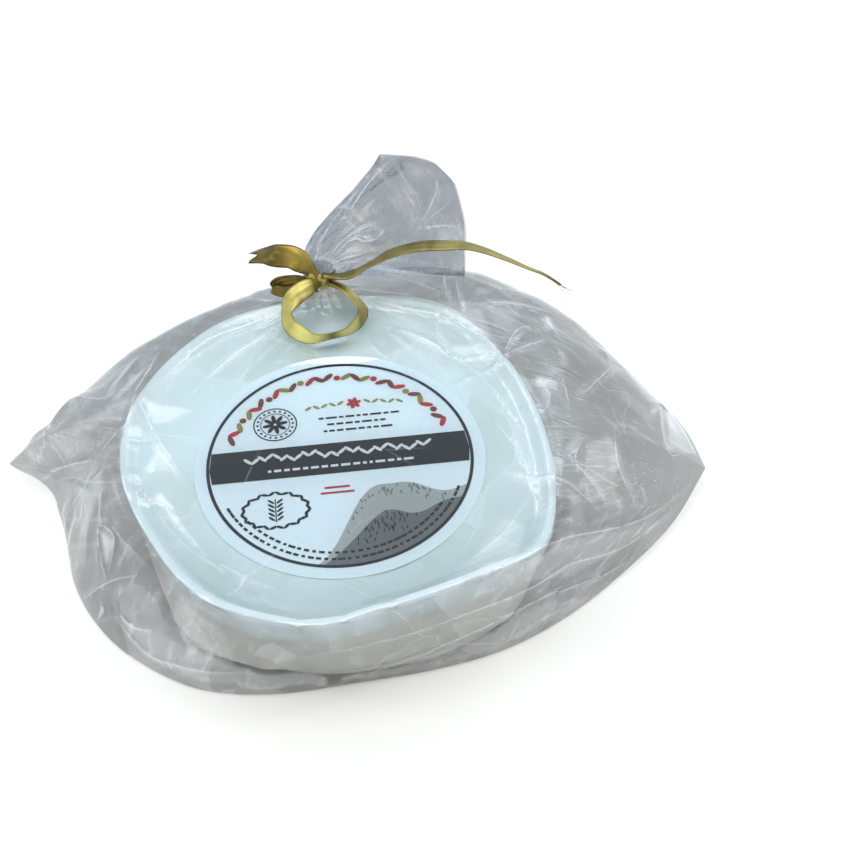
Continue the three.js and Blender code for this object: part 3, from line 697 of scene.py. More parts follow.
def net_points(outline, crinkles, spacing, height_at, draw):
    """Loose points that make the film between the folds a net of shallow facets."""
    low = outline.min(axis=0)
    high = outline.max(axis=0)
    made = []

    def scatter(gap, keep, height):
        y = low[1]
        while y < high[1]:
            x = low[0]
            while x < high[0]:
                point = (x + draw.uniform(-0.45, 0.45) * gap, y + draw.uniform(-0.45, 0.45) * gap)
                lift = draw.gauss(0, 1)
                if keep(*point):
                    made.append((point[0], point[1], height(*point) * lift))
                x += gap
            y += gap

    def calm(x, y):
        return all(math.hypot(x - cx, y - cy) > radius for cx, cy, radius, _, _ in crinkles)

    scatter(spacing, calm, height_at)
    for cx, cy, radius, gap, height in crinkles:
        scatter(gap, lambda x, y: math.hypot(x - cx, y - cy) < radius, lambda x, y: 0.5 * height)
    return np.array(made)


def inside_outline(points, outline):
    """Which points lie inside a closed outline."""
    inside = np.zeros(len(points), bool)
    following = np.roll(outline, -1, axis=0)
    for (x0, y0), (x1, y1) in zip(outline, following):
        if y0 == y1:
            continue
        crosses = (points[:, 1] > min(y0, y1)) & (points[:, 1] <= max(y0, y1))
        at = x0 + (points[:, 1] - y0) * (x1 - x0) / (y1 - y0)
        inside ^= crosses & (points[:, 0] < at)
    return inside


def nearest_distance(points, others):
    """The distance from each point to the nearest of the others."""
    tree = KDTree(len(others))
    for i, (x, y) in enumerate(others):
        tree.insert((x, y, 0), i)
    tree.balance()
    return np.array([tree.find((x, y, 0))[2] for x, y in points])


def joined_points(points, edges):
    """Triangles between flat points, with the edges kept, and each corner's numbers among the points."""
    made, _, faces, origins, _, _ = delaunay_2d_cdt([Vector(p) for p in points], edges, [], 0, 1e-5)
    return made, faces, origins


def triangulated(points, edges, outline, holes=()):
    """Triangles through flat points, inside the outline and outside the holes."""
    made, faces, origins = joined_points(points, edges)
    flat = np.array([(v.x, v.y) for v in made])
    faces = np.array(faces)
    middles = flat[faces].mean(axis=1)
    keep = inside_outline(middles, outline)
    for hole in holes:
        keep &= ~inside_outline(middles, hole)
    faces = faces[keep]
    used = np.unique(faces)
    renumber = np.full(len(flat), -1)
    renumber[used] = np.arange(len(used))
    origins = [origins[i][0] if origins[i] else -1 for i in used]
    return flat[used], renumber[faces], np.array(origins)


def chain(first, count, closed=False):
    edges = [(first + i, first + i + 1) for i in range(count - 1)]
    return edges + [(first + count - 1, first)] if closed else edges


def relief_net(lines, net, outline):
    """A coarse net of triangles that holds the folds' heights, for reading off by ray."""
    rows = [np.column_stack([outline[::8], np.zeros(len(outline[::8]))])]
    edges = []
    total = len(rows[0])
    for line in lines:
        edges += chain(total, len(line))
        rows.append(line[:, :3])
        total += len(line)
    on_lines = np.vstack(lines)
    rows.append(net[nearest_distance(net[:, :2], on_lines[:, :2]) > 2.0])
    rows = np.vstack(rows)
    made, faces, origins = joined_points(rows[:, :2], edges)
    heights = []
    for vertex, origin in zip(made, origins):
        if origin:
            heights.append(max((rows[i, 2] for i in origin), key=abs))
        else:
            gap = np.hypot(on_lines[:, 0] - vertex.x, on_lines[:, 1] - vertex.y)
            heights.append(on_lines[np.argmin(gap), 2])
    return BVHTree.FromPolygons([(v.x, v.y, h) for v, h in zip(made, heights)], faces)


def creased_sheet(outline, lines, net, spacing, holes=(), soften=3):
    """A fine flat sheet with its relief: points, triangles, heights, how sharply each point is creased,
    and which points lie on the outline or on a hole."""
    tree = relief_net(lines, net, outline)
    ring = along_path(np.vstack([outline, outline[:1]]), spacing)[:-1]
    fixed = [ring]
    edges = chain(0, len(ring), closed=True)
    total = len(ring)
    sharpness = [np.zeros(total)]
    for hole in holes:
        edges += chain(total, len(hole), closed=True)
        fixed.append(hole)
        sharpness.append(np.zeros(len(hole)))
        total += len(hole)
    border = total
    for line in lines:
        fine = along_path(line, spacing)
        edges += chain(total, len(fine))
        fixed.append(fine[:, :2])
        sharpness.append(fine[:, 3])
        total += len(fine)
    fixed = np.vstack(fixed)
    sharpness = np.concatenate(sharpness)
    low = outline.min(axis=0)
    high = outline.max(axis=0)
    grid = np.array([
        (x + (row % 2) * spacing / 2, y)
        for row, y in enumerate(np.arange(low[1], high[1], spacing * math.sqrt(3) / 2))
        for x in np.arange(low[0], high[0], spacing)])
    grid = grid[inside_outline(grid, outline)]
    grid = grid[nearest_distance(grid, fixed) > 0.5 * spacing]
    flat, triangles, origins = triangulated(np.vstack([fixed, grid]), edges, ring, holes)
    heights = np.zeros(len(flat))
    for i, (x, y) in enumerate(flat):
        hit = tree.ray_cast(Vector((x, y, 50)), Vector((0, 0, -1)))[0]
        heights[i] = hit.z if hit else 0
    on_line = (origins >= 0) & (origins < total)
    on_border = (origins >= 0) & (origins < border)
    creased = np.where(on_line, sharpness[np.clip(origins, 0, total - 1)], 0)
    heights = softened(heights, triangles, on_border | (creased > 0), soften)
    return flat, triangles, heights, creased, on_border


def softened(values, triangles, held, rounds):
    """Values averaged with their neighbours, except where they are held."""
    pairs = np.vstack([triangles[:, [0, 1]], triangles[:, [1, 2]], triangles[:, [2, 0]]])
    pairs = np.vstack([pairs, pairs[:, ::-1]])
    number = np.bincount(pairs[:, 0], minlength=len(values))
    for _ in range(rounds):
        total = np.bincount(pairs[:, 0], weights=values[pairs[:, 1]], minlength=len(values))
        values = np.where(held, values, 0.5 * values + 0.5 * total / np.maximum(number, 1))
    return values


def pane_highlights(flat, panes):
    """The painted highlight at each point of the film, from the facets that catch the light."""
    pane_highlight = np.zeros(len(flat))
    for most, corners in panes:
        corners = np.array(corners, float)
        border = along_path(np.vstack([corners, corners[:1]]), 0.8)
        inside = np.where(inside_outline(flat, corners))[0]
        if len(inside) == 0:
            continue
        soft = smoothstep(0, PANE_BORDER, nearest_distance(flat[inside], border))
        away = np.linalg.norm(flat[inside] - corners[0], axis=1)
        pane_highlight[inside] += most * soft * (1 - 0.55 * away / away.max())
    return pane_highlight


# The pieces of film

def rounded_corner(points, triangles):
    """The film with its left corner softened, and the corner's tip kept in its place."""
    from_corner = np.linalg.norm(points - FRONT_EDGE[0], axis=1)
    tip = np.argmin(from_corner)
    soft = np.stack([
        softened(points[:, axis], triangles, from_corner > CORNER_ROUNDING, 6) for axis in range(3)], axis=1)
    return soft + (points[tip] - soft[tip]) * smoothstep(CORNER_ROUNDING, 0, from_corner)[:, None]


def body_film(material):
    """The film over the covered tub and its two corners, and the points of its edge, from which the flat film
    under the tub is made.
    """
    draw = random.Random(11)
    angles = np.linspace(-math.pi, math.pi, 361)[:-1]
    corner_angles = [math.atan2(y, x) for x, y, _ in (FRONT_EDGE[0], FRONT_EDGE[-1])]
    angles = np.sort(np.concatenate([angles, corner_angles]))
    reach = look_up(RIM, RADIUS, angles) + side_length(angles)
    outline = np.stack([reach * np.cos(angles), reach * np.sin(angles)], axis=1)
    hole = disc(FLAT_TIE, HOLE_RADIUS, 72)

    def net_height(x, y):
        rim = look_up(RIM, RADIUS, math.atan2(y, x))
        over_label = math.hypot(x - LABEL_CENTRE[0], y - LABEL_CENTRE[1]) < LABEL_RADIUS
        lid = LABEL_NET_HEIGHT if over_label else LID_NET_HEIGHT
        return mix(lid, SIDE_NET_HEIGHT, float(smoothstep(0.95, 1.15, math.hypot(x, y) / rim)))

    lines = fold_lines(FOLDS, 3.0) + tie_pleats(draw)
    lines = [line[inside_outline(line[:, :2], outline * 0.992)] for line in lines]
    lines = [line for line in lines if len(line) > 1]
    net = net_points(outline, CRINKLES, NET_SPACING, net_height, draw)
    flat, triangles, heights, creased, border = creased_sheet(outline, lines, net, SHEET_SPACING, [hole])

    base = film_point(flat)
    normals = vertex_normals(base, triangles)
    if normals[:, 2].mean() < 0:
        triangles = triangles[:, ::-1]
        normals = -normals
    along = np.hypot(flat[:, 0], flat[:, 1])
    flat_angles = np.arctan2(flat[:, 1], flat[:, 0])
    rim = look_up(RIM, RADIUS, flat_angles)
    lowest = np.where(along < rim * 1.02, LID_HOLLOW, SIDE_HOLLOW)
    near_edge = smoothstep(0, 6, rim + side_length(flat_angles) - along)
    heights = np.maximum(heights, lowest) * np.where(border, 0, near_edge)
    points = base + normals * heights[:, None]
    points[:, 2] = np.maximum(points[:, 2], OFF_TABLE)

    from_tie = np.hypot(points[:, 0] - TIE[0], points[:, 1] - TIE[1])
    creased = np.maximum(creased, 0.75 * smoothstep(11, HOLE_RADIUS, from_tie))
    points = rounded_corner(points, triangles)
    film = add_object("film_bag", points, triangles, material)
    set_mark(film, "crease", creased)
    # painted highlights on the facets that catch the light
    set_mark(film, "pane_highlight", pane_highlights(flat, PANES))
    edge = [i for i in np.where(border)[0] if np.hypot(*(flat[i] - FLAT_TIE)) > 2 * HOLE_RADIUS]
    edge.sort(key=lambda i: math.atan2(flat[i][1], flat[i][0]))
    return film, points[edge]


def under_film(edge, material):
    """The film under the tub, from the bag's edge inwards, flat on the table."""
    rings = []
    for share, height in ((0.45, 0.15), (0.8, 0.15), (0.97, 0.35)):
        away = np.hypot(edge[:, 0], edge[:, 1])
        inward = np.minimum((away - 2 - 2.4 * edge[:, 2]) / away, 1) * share
        rings.append(np.column_stack([edge[:, :2] * inward[:, None], np.full(len(edge), height)]))
    rings.append(edge)
    return polar_mesh("film_under", rings, material)


def on_curve(share, start, leaving, end, arriving):
    """The point at a share of the way along a curve that leaves and arrives by the given tangents."""
    rest = 1 - share
    return (start * (rest * rest * (1 + 2 * share))[:, None] + leaving * (rest * rest * share)[:, None]
            + end * (share * share * (3 - 2 * share))[:, None] - arriving * (share * share * rest)[:, None])


def mouth_point(flat):
    """Where a point of the bag's gathered mouth lies: x goes round the neck, y goes up out of it."""
    forward = unit(FAN_DIRECTION)
    line = np.array(FAN_WIDTH_LINE)
    across = unit(line - forward * line.dot(forward))
    through = np.cross(across, forward)
    tie = np.array(TIE)
    angle = flat[:, 0] / FAN_AROUND * 2 * math.pi
    u = np.cos(angle)
    v = np.sin(angle)
    half = BAND_WIDTH / 2 + BAND_MARGIN
    start = tie + np.stack([u * NECK_RADIUS, v * NECK_RADIUS, np.full(len(u), half)], axis=1)
    below = np.minimum(flat[:, 1], 0)
    share = np.clip(flat[:, 1] / FAN_LENGTH, 0, 1)
    turn = u * FAN_HALF_ANGLE + FAN_LOW_TURN * smoothstep(0, 1, u)
    outward = forward * np.cos(turn)[:, None] - across * np.sin(turn)[:, None]
    reach = np.interp(u, *np.transpose(FAN_REACH))[:, None]
    pleat = np.cos(FAN_PLEATS * angle) * FAN_PLEAT_DEPTH * (1 - u * u)
    end = tie + outward * reach + through * (v * FAN_HALF_DEPTH + pleat)[:, None]
    spread = u * np.where(u < 0, NECK_SPREAD_UP, NECK_SPREAD_DOWN)
    leaving = np.array(NECK_RISE) - across * spread[:, None]
    made = on_curve(share, start, leaving, end, outward * reach)
    made += through * (v * FAN_BELLY * np.sin(math.pi * share))[:, None]
    made[:, 2] += below
    made[:, :2] += (0.04 * below)[:, None] * np.stack([u, v], axis=1)
    return made


def mouth_film(material):
    """The pleated film above the tie, out to the open mouth of the bag."""
    draw = random.Random(5)
    corners = [(0, FAN_BELOW), (FAN_AROUND, FAN_BELOW), (FAN_AROUND, FAN_LENGTH), (0, FAN_LENGTH)]
    outline = along_path(corners + corners[:1], 1.0)[:-1]
    lines = fold_lines(MOUTH_FOLDS, 3.0)
    count = 2 * PLEATS
    for step in range(1, count):
        crest = step % 2 == 0
        x = FAN_AROUND * (step + draw.uniform(-0.2, 0.2)) / count
        top = draw.uniform(14, 50) if crest else draw.uniform(8, 20)
        y = along_path([(FAN_BELOW + 0.5, 0), (top, 0)], 2.5)[:, 0]
        share = np.clip(y / top, 0, 1)
        lines.append(np.column_stack([
            x + draw.uniform(-4, 4) * share ** 2, y, tapered_height(crest, share),
            (0.8 if crest else 0) * (1 - share)]))
    lines = [line[inside_outline(line[:, :2], outline)] for line in lines]
    net = net_points(outline, [MOUTH_CRINKLE], MOUTH_NET_SPACING, lambda x, y: MOUTH_NET_HEIGHT, draw)
    flat, triangles, heights, creased, _ = creased_sheet(outline, lines, net, MOUTH_SPACING)
    base = mouth_point(flat)
    normals = vertex_normals(base, triangles)
    heights = heights * smoothstep(0, 6, flat[:, 0]) * smoothstep(0, 6, FAN_AROUND - flat[:, 0])
    squeeze = 1 - 0.5 * smoothstep(3, -3, flat[:, 1])
    points = base + normals * (heights * squeeze)[:, None]
    creased = np.maximum(creased, 1.3 * smoothstep(14, 1, flat[:, 1]))
    film = add_object("film_mouth", points, triangles, material)
    set_mark(film, "crease", creased)
    # painted highlights on the facets that catch the light
    set_mark(film, "pane_highlight", pane_highlights(flat, MOUTH_PANES))
    return film


# The tub and its cover

def wall_radius(angles, height):
    """The tub's outside at a height, which leans in towards the foot."""
    top = look_up(RIM, RADIUS, angles) - LIP_INSIDE
    return mix(look_up(FOOT, RADIUS, angles), top, np.clip(height / WALL_TOP, 0, 1))


def tub(material):
    """The round plastic tub: a rolled lip, a leaning wall and a foot ring round a raised base."""
    angles = np.linspace(-math.pi, math.pi, 241)[:-1]
    rings = [ring_at(angles, wall_radius(angles, height) + stand, height) for height, stand in TUB_PROFILE]
    base = rings[-1]
    rings += [base * [share, share, 1] for share in (0.6, 0.3)]
    rings.reverse()
    return polar_mesh("tub", rings, material)


def label_plane(y):
    """The height of the sunken cover and label, which lie a little tilted to the front."""
    return LABEL_CENTRE[2] + math.tan(LABEL_TILT) * (y - LABEL_CENTRE[1])


def pinches(angles):
    """How far the rim is drawn in at each angle."""
    total = np.zeros_like(angles)
    for degrees, half, depth in RIM_PINCHES:
        gap = angles - math.radians(degrees)
        gap = np.degrees(np.abs(np.arctan2(np.sin(gap), np.cos(gap))))
        total += depth * np.exp(-(gap / half) ** 1.3)
    return total


def cover(material):
    """The thin sheet over the tub: sunk in the middle, over the rim, and down the wall in soft pleats."""
    draw = np.random.default_rng(3)
    angles = np.linspace(-math.pi, math.pi, 481)[:-1]
    rim = look_up(RIM, RADIUS, angles)
    notch = pinches(angles)
    toward_front = mix(RIM_HIGHLIGHT_BEHIND, 1, smoothstep(0.1, 0.9, -np.sin(angles)))
    starts = draw.uniform(0, 6, len(SKIRT_WAVES))
    waves = sum(high * np.sin(count * angles + start) for (count, high), start in zip(SKIRT_WAVES, starts))
    rings = []
    rim_highlight = [0.0]
    skirt_shade = [0.0]
    in_shade = [0.0]
    for share in np.concatenate([np.linspace(0.03, 0.84, 30), np.linspace(0.855, COVER_TURN, 20)]):
        radius = share * rim
        lid = RIM_HEIGHT - COVER_DIP + np.interp(share, LID_SHARES, LID_HEIGHTS) - COVER_GAP
        flat = np.minimum(label_plane(radius * np.sin(angles)), RIM_HEIGHT - COVER_DIP - COVER_GAP)
        waves_near_rim = np.sin(7 * angles + 9 * share) + np.sin(12 * angles - 5)
        cockle = 0.3 * smoothstep(0.66, 0.8, share) * waves_near_rim
        rise = smoothstep(0.86, 0.955, share)
        z = mix(flat - 0.3 * smoothstep(0.6, 0.75, share) + cockle * (1 - rise), lid, rise)
        z = z - 0.7 * notch * smoothstep(0.9, 0.97, share)
        rings.append(ring_at(angles, radius, z))
        # painted highlight along the rim, strongest in front
        rim_highlight += list(smoothstep(0.88, 0.94, share) * toward_front)
        skirt_shade += [0.0] * len(angles)
        in_shade += list(smoothstep(0.6, 0.85, share) * smoothstep(0.93, 0.86, share) * toward_front)
    pleats = 0.5 * np.sin(17 * angles + 2.5 * np.sin(5 * angles)) + 0.35 * np.sin(31 * angles + 1)
    hem = SKIRT_HEM + 2.2 * np.sin(4 * angles + 0.6) + 1.4 * np.sin(11 * angles + 2)
    for down in np.linspace(0, 1, 22)[1:]:
        height = mix(RIM_HEIGHT - COVER_DROP - COVER_GAP, hem, down)
        roll = smoothstep(0, 0.1, down)
        radius = mix(COVER_TURN * rim, wall_radius(angles, height) + 0.5, smoothstep(0, 0.28, down))
        swell = 0.8 * np.exp(-((down - 0.34) / 0.1) ** 2) * (0.6 + 0.4 * np.sin(3 * angles + 1))
        radius = radius + roll * (0.35 * pleats * smoothstep(0.1, 0.5, down) + waves * 0.6 + swell - 0.4)
        radius = radius - notch * (1 - down)
        rings.append(ring_at(angles, radius, height))
        # the rim's painted highlight runs onto the top of the skirt in front
        rim_highlight += list(smoothstep(0.46, 0.14, down) * toward_front)
        # painted shade that deepens down the skirt
        skirt_shade += [float(smoothstep(0.15, 0.5, down))] * len(angles)
        in_shade += [0.0] * len(angles)
    sheet = polar_mesh("cover", rings, material)
    # marks for the painted highlight on the rim, the painted shade down the skirt and the painted shade
    # inside the rim in front
    set_mark(sheet, "rim", rim_highlight)
    set_mark(sheet, "skirt", skirt_shade)
    set_mark(sheet, "shade", in_shade)
    return sheet


# The label and its print

def on_label(points, lift):
    """Points of the label, from across and up on its face, in the pack's own frame."""
    points = np.asarray(points, float)
    x = LABEL_CENTRE[0] + points[:, 0]
    y = LABEL_CENTRE[1] + points[:, 1] * math.cos(LABEL_TILT)
    return np.stack([x, y, label_plane(y) + lift], axis=1)


def turned(points, degrees, centre):
    angle = math.radians(degrees)
    points = np.asarray(points, float)
    return np.stack([
        centre[0] + points[:, 0] * math.cos(angle) - points[:, 1] * math.sin(angle),
        centre[1] + points[:, 0] * math.sin(angle) + points[:, 1] * math.cos(angle)], axis=1)


def around(centre, radius, degrees, high=None):
    """A point on a circle, or on an oval where its height is given too."""
    angle = math.radians(degrees)
    high = radius if high is None else high
    return centre[0] + radius * math.cos(angle), centre[1] + high * math.sin(angle)


def bar(centre, length, height, degrees=0.0):
    half = length / 2
    return turned([(-half, -height / 2), (half, -height / 2), (half, height / 2), (-half, height / 2)],
                  degrees, centre)


def leaf(centre, length, width, degrees):
    turns = np.linspace(0, math.pi, 9)
    upper = [(-length / 2 * math.cos(t), width / 2 * math.sin(t) ** 0.8) for t in turns]
    lower = [(x, -y) for x, y in reversed(upper[1:-1])]
    return turned(upper + lower, degrees, centre)[::-1]


def arc_band(inner, outer, start, end, centre=(0, 0)):
    """A band between two radii, as small four-sided faces."""
    count = max(2, int(abs(end - start) * outer / 57 / 1.5))
    turns = np.linspace(start, end, count + 1)
    faces = []
    for a, b in zip(turns[:-1], turns[1:]):
        corners = [(inner, a), (outer, a), (outer, b), (inner, b)]
        faces.append(np.array([around(centre, radius, degrees) for radius, degrees in corners]))
    return faces


def ring_marks(shape, radius, start, end, gap, wave=0.0):
    """Marks set along an arc of the label, each turned to face the middle."""
    count = int(abs(end - start) * radius / 57.3 / gap)
    marks = []
    for i in range(count):
        degrees = mix(start, end, (i + 0.5) / count)
        centre = around((0, 0), radius + wave * math.sin(2.4 * i), degrees)
        marks.append(shape(i, centre, degrees))
    return marks


def dash_row(left, right, y, sizes, gap, thick, draw):
    """A straight row of dashes of uneven length."""
    marks = []
    x = left
    while x < right:
        size = draw.uniform(*sizes)
        marks.append(bar((x + size / 2, y), size, thick))
        x += size + gap
    return marks


def field_columns(low, high, left, right, step=0.8):
    """Upright strips that fill the label's round field between two heights given along it."""
    faces = []
    edges = np.arange(left, right + step / 2, step)
    for a, b in zip(edges[:-1], edges[1:]):
        corners = []
        for x, height in ((a, low), (b, low), (b, high), (a, high)):
            limit = math.sqrt(max(FIELD_RADIUS ** 2 - x * x, 0))
            corners.append((x, float(np.clip(height(x), -limit, limit))))
        if abs(corners[3][1] - corners[0][1]) + abs(corners[2][1] - corners[1][1]) > 0.05:
            faces.append(np.array(corners))
    return faces


def hill_line(x, base, size, phase):
    return base + size * math.sin(0.11 * x + phase) + 0.35 * size * math.sin(0.29 * x + 2 * phase)


def far_hill(x):
    top = min(hill_line(x, -15, 3.0, 0.4), STRIPE_LOW - 1)
    return mix(-FIELD_RADIUS, top, float(smoothstep(-14, 14, x)))


def near_hill(x):
    return mix(-FIELD_RADIUS, hill_line(x, -23, 3.4, 2.0), float(smoothstep(-12, 20, x)))


def print_title(inks):
    """A row of leaves and berries over the top."""
    order = ("brown", "red", "olive", "brown", "olive", "red", "brown")

    def leaf_or_berry(i, centre, degrees):
        if i % 4 == 3:
            return disc(centre, 1.3, 14)
        return leaf(centre, 5.0, 2.1, degrees + (50 if i % 2 else 130))

    for i, mark in enumerate(ring_marks(leaf_or_berry, 41.0, 163, 17, 3.4, wave=0.4)):
        inks[order[i % len(order)]].append(mark)


def print_flower(inks, draw):
    """A flower with a sprig on both sides, and short rules under it."""
    x, y = FLOWER
    for degrees in range(15, 375, 60):
        inks["red"].append(leaf(around(FLOWER, 1.5, degrees), 2.6, 1.6, degrees))
    for side in (-1, 1):
        for step in range(5):
            centre = (x + side * (5.0 + 3.0 * step), y + 0.5 - 0.35 * step)
            inks["olive"].append(leaf(centre, 3.0, 1.1, 35 * side * (1 if step % 2 else -1)))
    for row, length in enumerate((27, 21, 24)):
        left = x - length / 2
        inks["black"] += dash_row(left, left + length, 20.6 - 3.2 * row, (1.2, 4.2), 0.8, 0.9, draw)


def print_rosette(inks):
    """A round rosette of petals with a ring of dots."""
    black = inks["black"]
    black += arc_band(7.6, 8.1, 0, 360, ROSETTE)
    black += arc_band(5.2, 5.5, 0, 360, ROSETTE)
    for degrees in range(0, 360, 18):
        black.append(disc(around(ROSETTE, 6.5, degrees), 0.5, 8))
    for degrees in range(10, 370, 45):
        black.append(leaf(around(ROSETTE, 2.6, degrees), 4.2, 1.6, degrees))


def print_vine(inks, draw):
    """A vine and a row of dashes in white on the dark stripe."""
    for i, x in enumerate(np.arange(-33, 34, 2.6)):
        y = 3.6 + 0.9 * math.sin(0.45 * x)
        inks["white"].append(leaf((x, y), 4.0, 1.3, 42 if i % 2 else -42))
    inks["white"] += dash_row(-26.0, 27, -2.6, (1.0, 3.6), 1.0, 1.1, draw)


def print_grass(ink, draw, count, between, hill, depths, margin, lengths, width, angles):
    """Blades of grass under a hill's line."""
    for _ in range(count):
        x = draw.uniform(*between)
        y = hill(x) - draw.uniform(*depths)
        if math.hypot(x, y) < FIELD_RADIUS - margin:
            ink.append(leaf((x, y), draw.uniform(*lengths), width, draw.uniform(*angles)))


def print_hills(inks, draw):
    """Hills with grass on the right, paler behind and darker in front."""
    inks["pale_grey"] += field_columns(lambda x: -FIELD_RADIUS, far_hill, -14, FIELD_RADIUS)
    inks["grey"] += field_columns(lambda x: -FIELD_RADIUS, near_hill, -12, FIELD_RADIUS)
    print_grass(inks["black"], draw, 90, (3, 38), near_hill, (0.5, 9), 7, (1.4, 2.6), 0.4, (65, 115))
    print_grass(inks["grey"], draw, 40, (0, 40), far_hill, (0.3, 5), 5, (1.2, 2.2), 0.5, (60, 120))


def print_wreath(inks):
    """A wreath of leaves round a plain sprig, and two short rules beside it."""
    black = inks["black"]
    for step in range(30):
        degrees = 12 * step
        lean = 60 if step % 2 else 120
        black.append(leaf(around(WREATH, 11.5, degrees, high=7.6), 2.8, 1.1, degrees + lean))
    for step in range(5):
        for side in (-1, 1):
            centre = (WREATH[0] + side * 1.5, WREATH[1] - 3.6 + 1.9 * step)
            black.append(leaf(centre, 2.9, 0.9, 90 - 50 * side))
    black.append(bar(WREATH, 0.4, 10.5))
    for row, length in enumerate((9, 12)):
        inks["red"].append(bar((-2.0, -12.6 - 2.4 * row), length, 0.9))


def print_hem(inks, draw):
    """Two rows of small dashes along the bottom."""
    def dash(i, centre, degrees):
        return bar(centre, draw.uniform(0.9, 2.6), 1.0, degrees + 90)

    inks["black"] += ring_marks(dash, 44.3, 203, 337, 2.6)
    inks["black"] += ring_marks(dash, 41.6, 215, 325, 2.6)


def label_print():
    """The shapes printed on the label, by ink."""
    draw = random.Random(8)
    inks = {ink: [] for ink in INKS}
    inks["black"] += arc_band(FIELD_RADIUS, RING_RADIUS, 0, 360)
    inks["black"] += field_columns(lambda x: STRIPE_LOW, lambda x: STRIPE_HIGH, -FIELD_RADIUS, FIELD_RADIUS)
    print_title(inks)
    print_flower(inks, draw)
    print_rosette(inks)
    print_vine(inks, draw)
    print_hills(inks, draw)
    print_wreath(inks)
    print_hem(inks, draw)
    return inks


def label(material):
    """The round paper label, a disc with a soft edge."""
    profile = ((12, 0.26), (30, 0.26), (48, 0.26), (LABEL_RADIUS - 0.3, 0.26), (LABEL_RADIUS, 0.18),
               (LABEL_RADIUS, 0.02))
    rings = [on_label(disc((0, 0), radius, 180), lift) for radius, lift in profile]
    return polar_mesh("label", rings, material)


def ink_piece(name, shapes, lift, material):
    """One ink's shapes as thin flat faces just above the label."""
    points = []
    faces = []
    for shape in shapes:
        faces.append(tuple(range(len(points), len(points) + len(shape))))
        points.extend(on_label(shape, lift))
    return add_object(name, np.array(points), faces, material, smooth=False)


# The ribbon

def ribbon_frames(route, steps):
    """Points along a ribbon's route with the line across it and the way it faces."""
    route = np.asarray(route, float)
    path = curve_through(route[:, :3], 24)
    lines = curve_through(route[:, 3:], 24)
    at = np.linspace(0, 1, len(path))
    wanted = np.linspace(0, 1, steps + 1)
    path, lines = (
        np.stack([np.interp(wanted, at, rows[:, i]) for i in range(3)], axis=1) for rows in (path, lines))
    along = np.gradient(path, axis=0)
    along /= np.linalg.norm(along, axis=1, keepdims=True)
    across = lines - along * (lines * along).sum(axis=1, keepdims=True)
    across /= np.linalg.norm(across, axis=1, keepdims=True)
    return path, along, across, np.cross(along, across)


def ribbon_piece(name, route, width, material, painted_sheen, steps=96, end_width=None, cup=0.6, notch=0.0,
                 knotted=1):
    """A satin strip along a route, cupped across, with its width and length kept as UVs.
    It is gathered where it meets the knot: at none, one or both of its ends."""
    path, along, across, out = ribbon_frames(route, steps)
    end_width = width if end_width is None else end_width
    columns = 10
    points = []
    uvs = []
    length = np.concatenate([[0], np.cumsum(np.linalg.norm(np.diff(path, axis=0), axis=1))])
    for row in range(steps + 1):
        share = row / steps
        from_knot = (math.inf, length[row], min(length[row], length[-1] - length[row]))[knotted]
        gathered = float(smoothstep(0, PINCH_LENGTH, from_knot))
        half = mix(width, end_width, share ** 3) * mix(KNOT_PINCH, 1, gathered) / 2
        bow = cup * (0.7 + 0.3 * math.sin(7 * share + 1)) + 0.8 * (1 - gathered)
        for column in range(columns):
            u = 2 * column / (columns - 1) - 1
            lift = bow * (1 - u * u) + 0.12 * math.sin(9 * u + 14 * share)
            back = notch * max(0.0, 1 - abs(u) * 1.15) * smoothstep(0.86, 1, share)
            points.append(path[row] + across[row] * (u * half) + out[row] * lift - along[row] * back)
            uvs.append(((u + 1) / 2, (length[row] - back) / 10))
    strip = add_object(name, np.array(points), grid_faces(steps + 1, columns), material)
    set_uvs(strip, uvs)
    along_it = np.repeat(np.linspace(0, 1, steps + 1), columns)
    # painted highlight and shade along the strip
    set_mark(strip, "painted_sheen", np.interp(along_it, *np.transpose(painted_sheen)))
    thick = strip.modifiers.new("thickness", "SOLIDIFY")
    thick.thickness = RIBBON_THICKNESS * MM
    thick.offset = 0
    return strip


def knot(material):
    """The ribbon's knot: a tight wrap with creases that run round it."""
    columns = 64
    rows = 29
    length, depth, height = KNOT_SIZE
    c, s = math.cos(KNOT_TILT), math.sin(KNOT_TILT)
    points = []
    uvs = []
    for row in range(rows):
        v = row / (rows - 1)
        polar = math.pi * (0.04 + 0.92 * v)
        waist = 1 - 0.18 * math.exp(-((v - 0.5) / 0.12) ** 2)
        ring = (math.sin(polar) ** 0.7) * waist
        for column in range(columns):
            turn = 2 * math.pi * column / columns
            crease = 0.30 * math.sin(5 * polar + 1.2 * math.sin(turn)) + 0.18 * math.sin(11 * polar + turn)
            x = (length + crease) * math.cos(polar)
            y = (depth + crease) * ring * math.cos(turn)
            z = (height + crease) * ring * math.sin(turn)
            points.append((KNOT[0] + c * x + s * z, KNOT[1] + y, KNOT[2] - s * x + c * z))
            uvs.append((v, column / columns * 2.4))
    faces = grid_faces(rows, columns, closed=True)
    faces.append(tuple(range(columns))[::-1])
    faces.append(tuple(range((rows - 1) * columns, rows * columns)))
    thing = add_object("ribbon_knot", np.array(points), faces, material)
    set_uvs(thing, uvs)
    # the knot's painted highlight, even all over
    set_mark(thing, "painted_sheen", np.full(len(points), KNOT_SHEEN))
    return thing


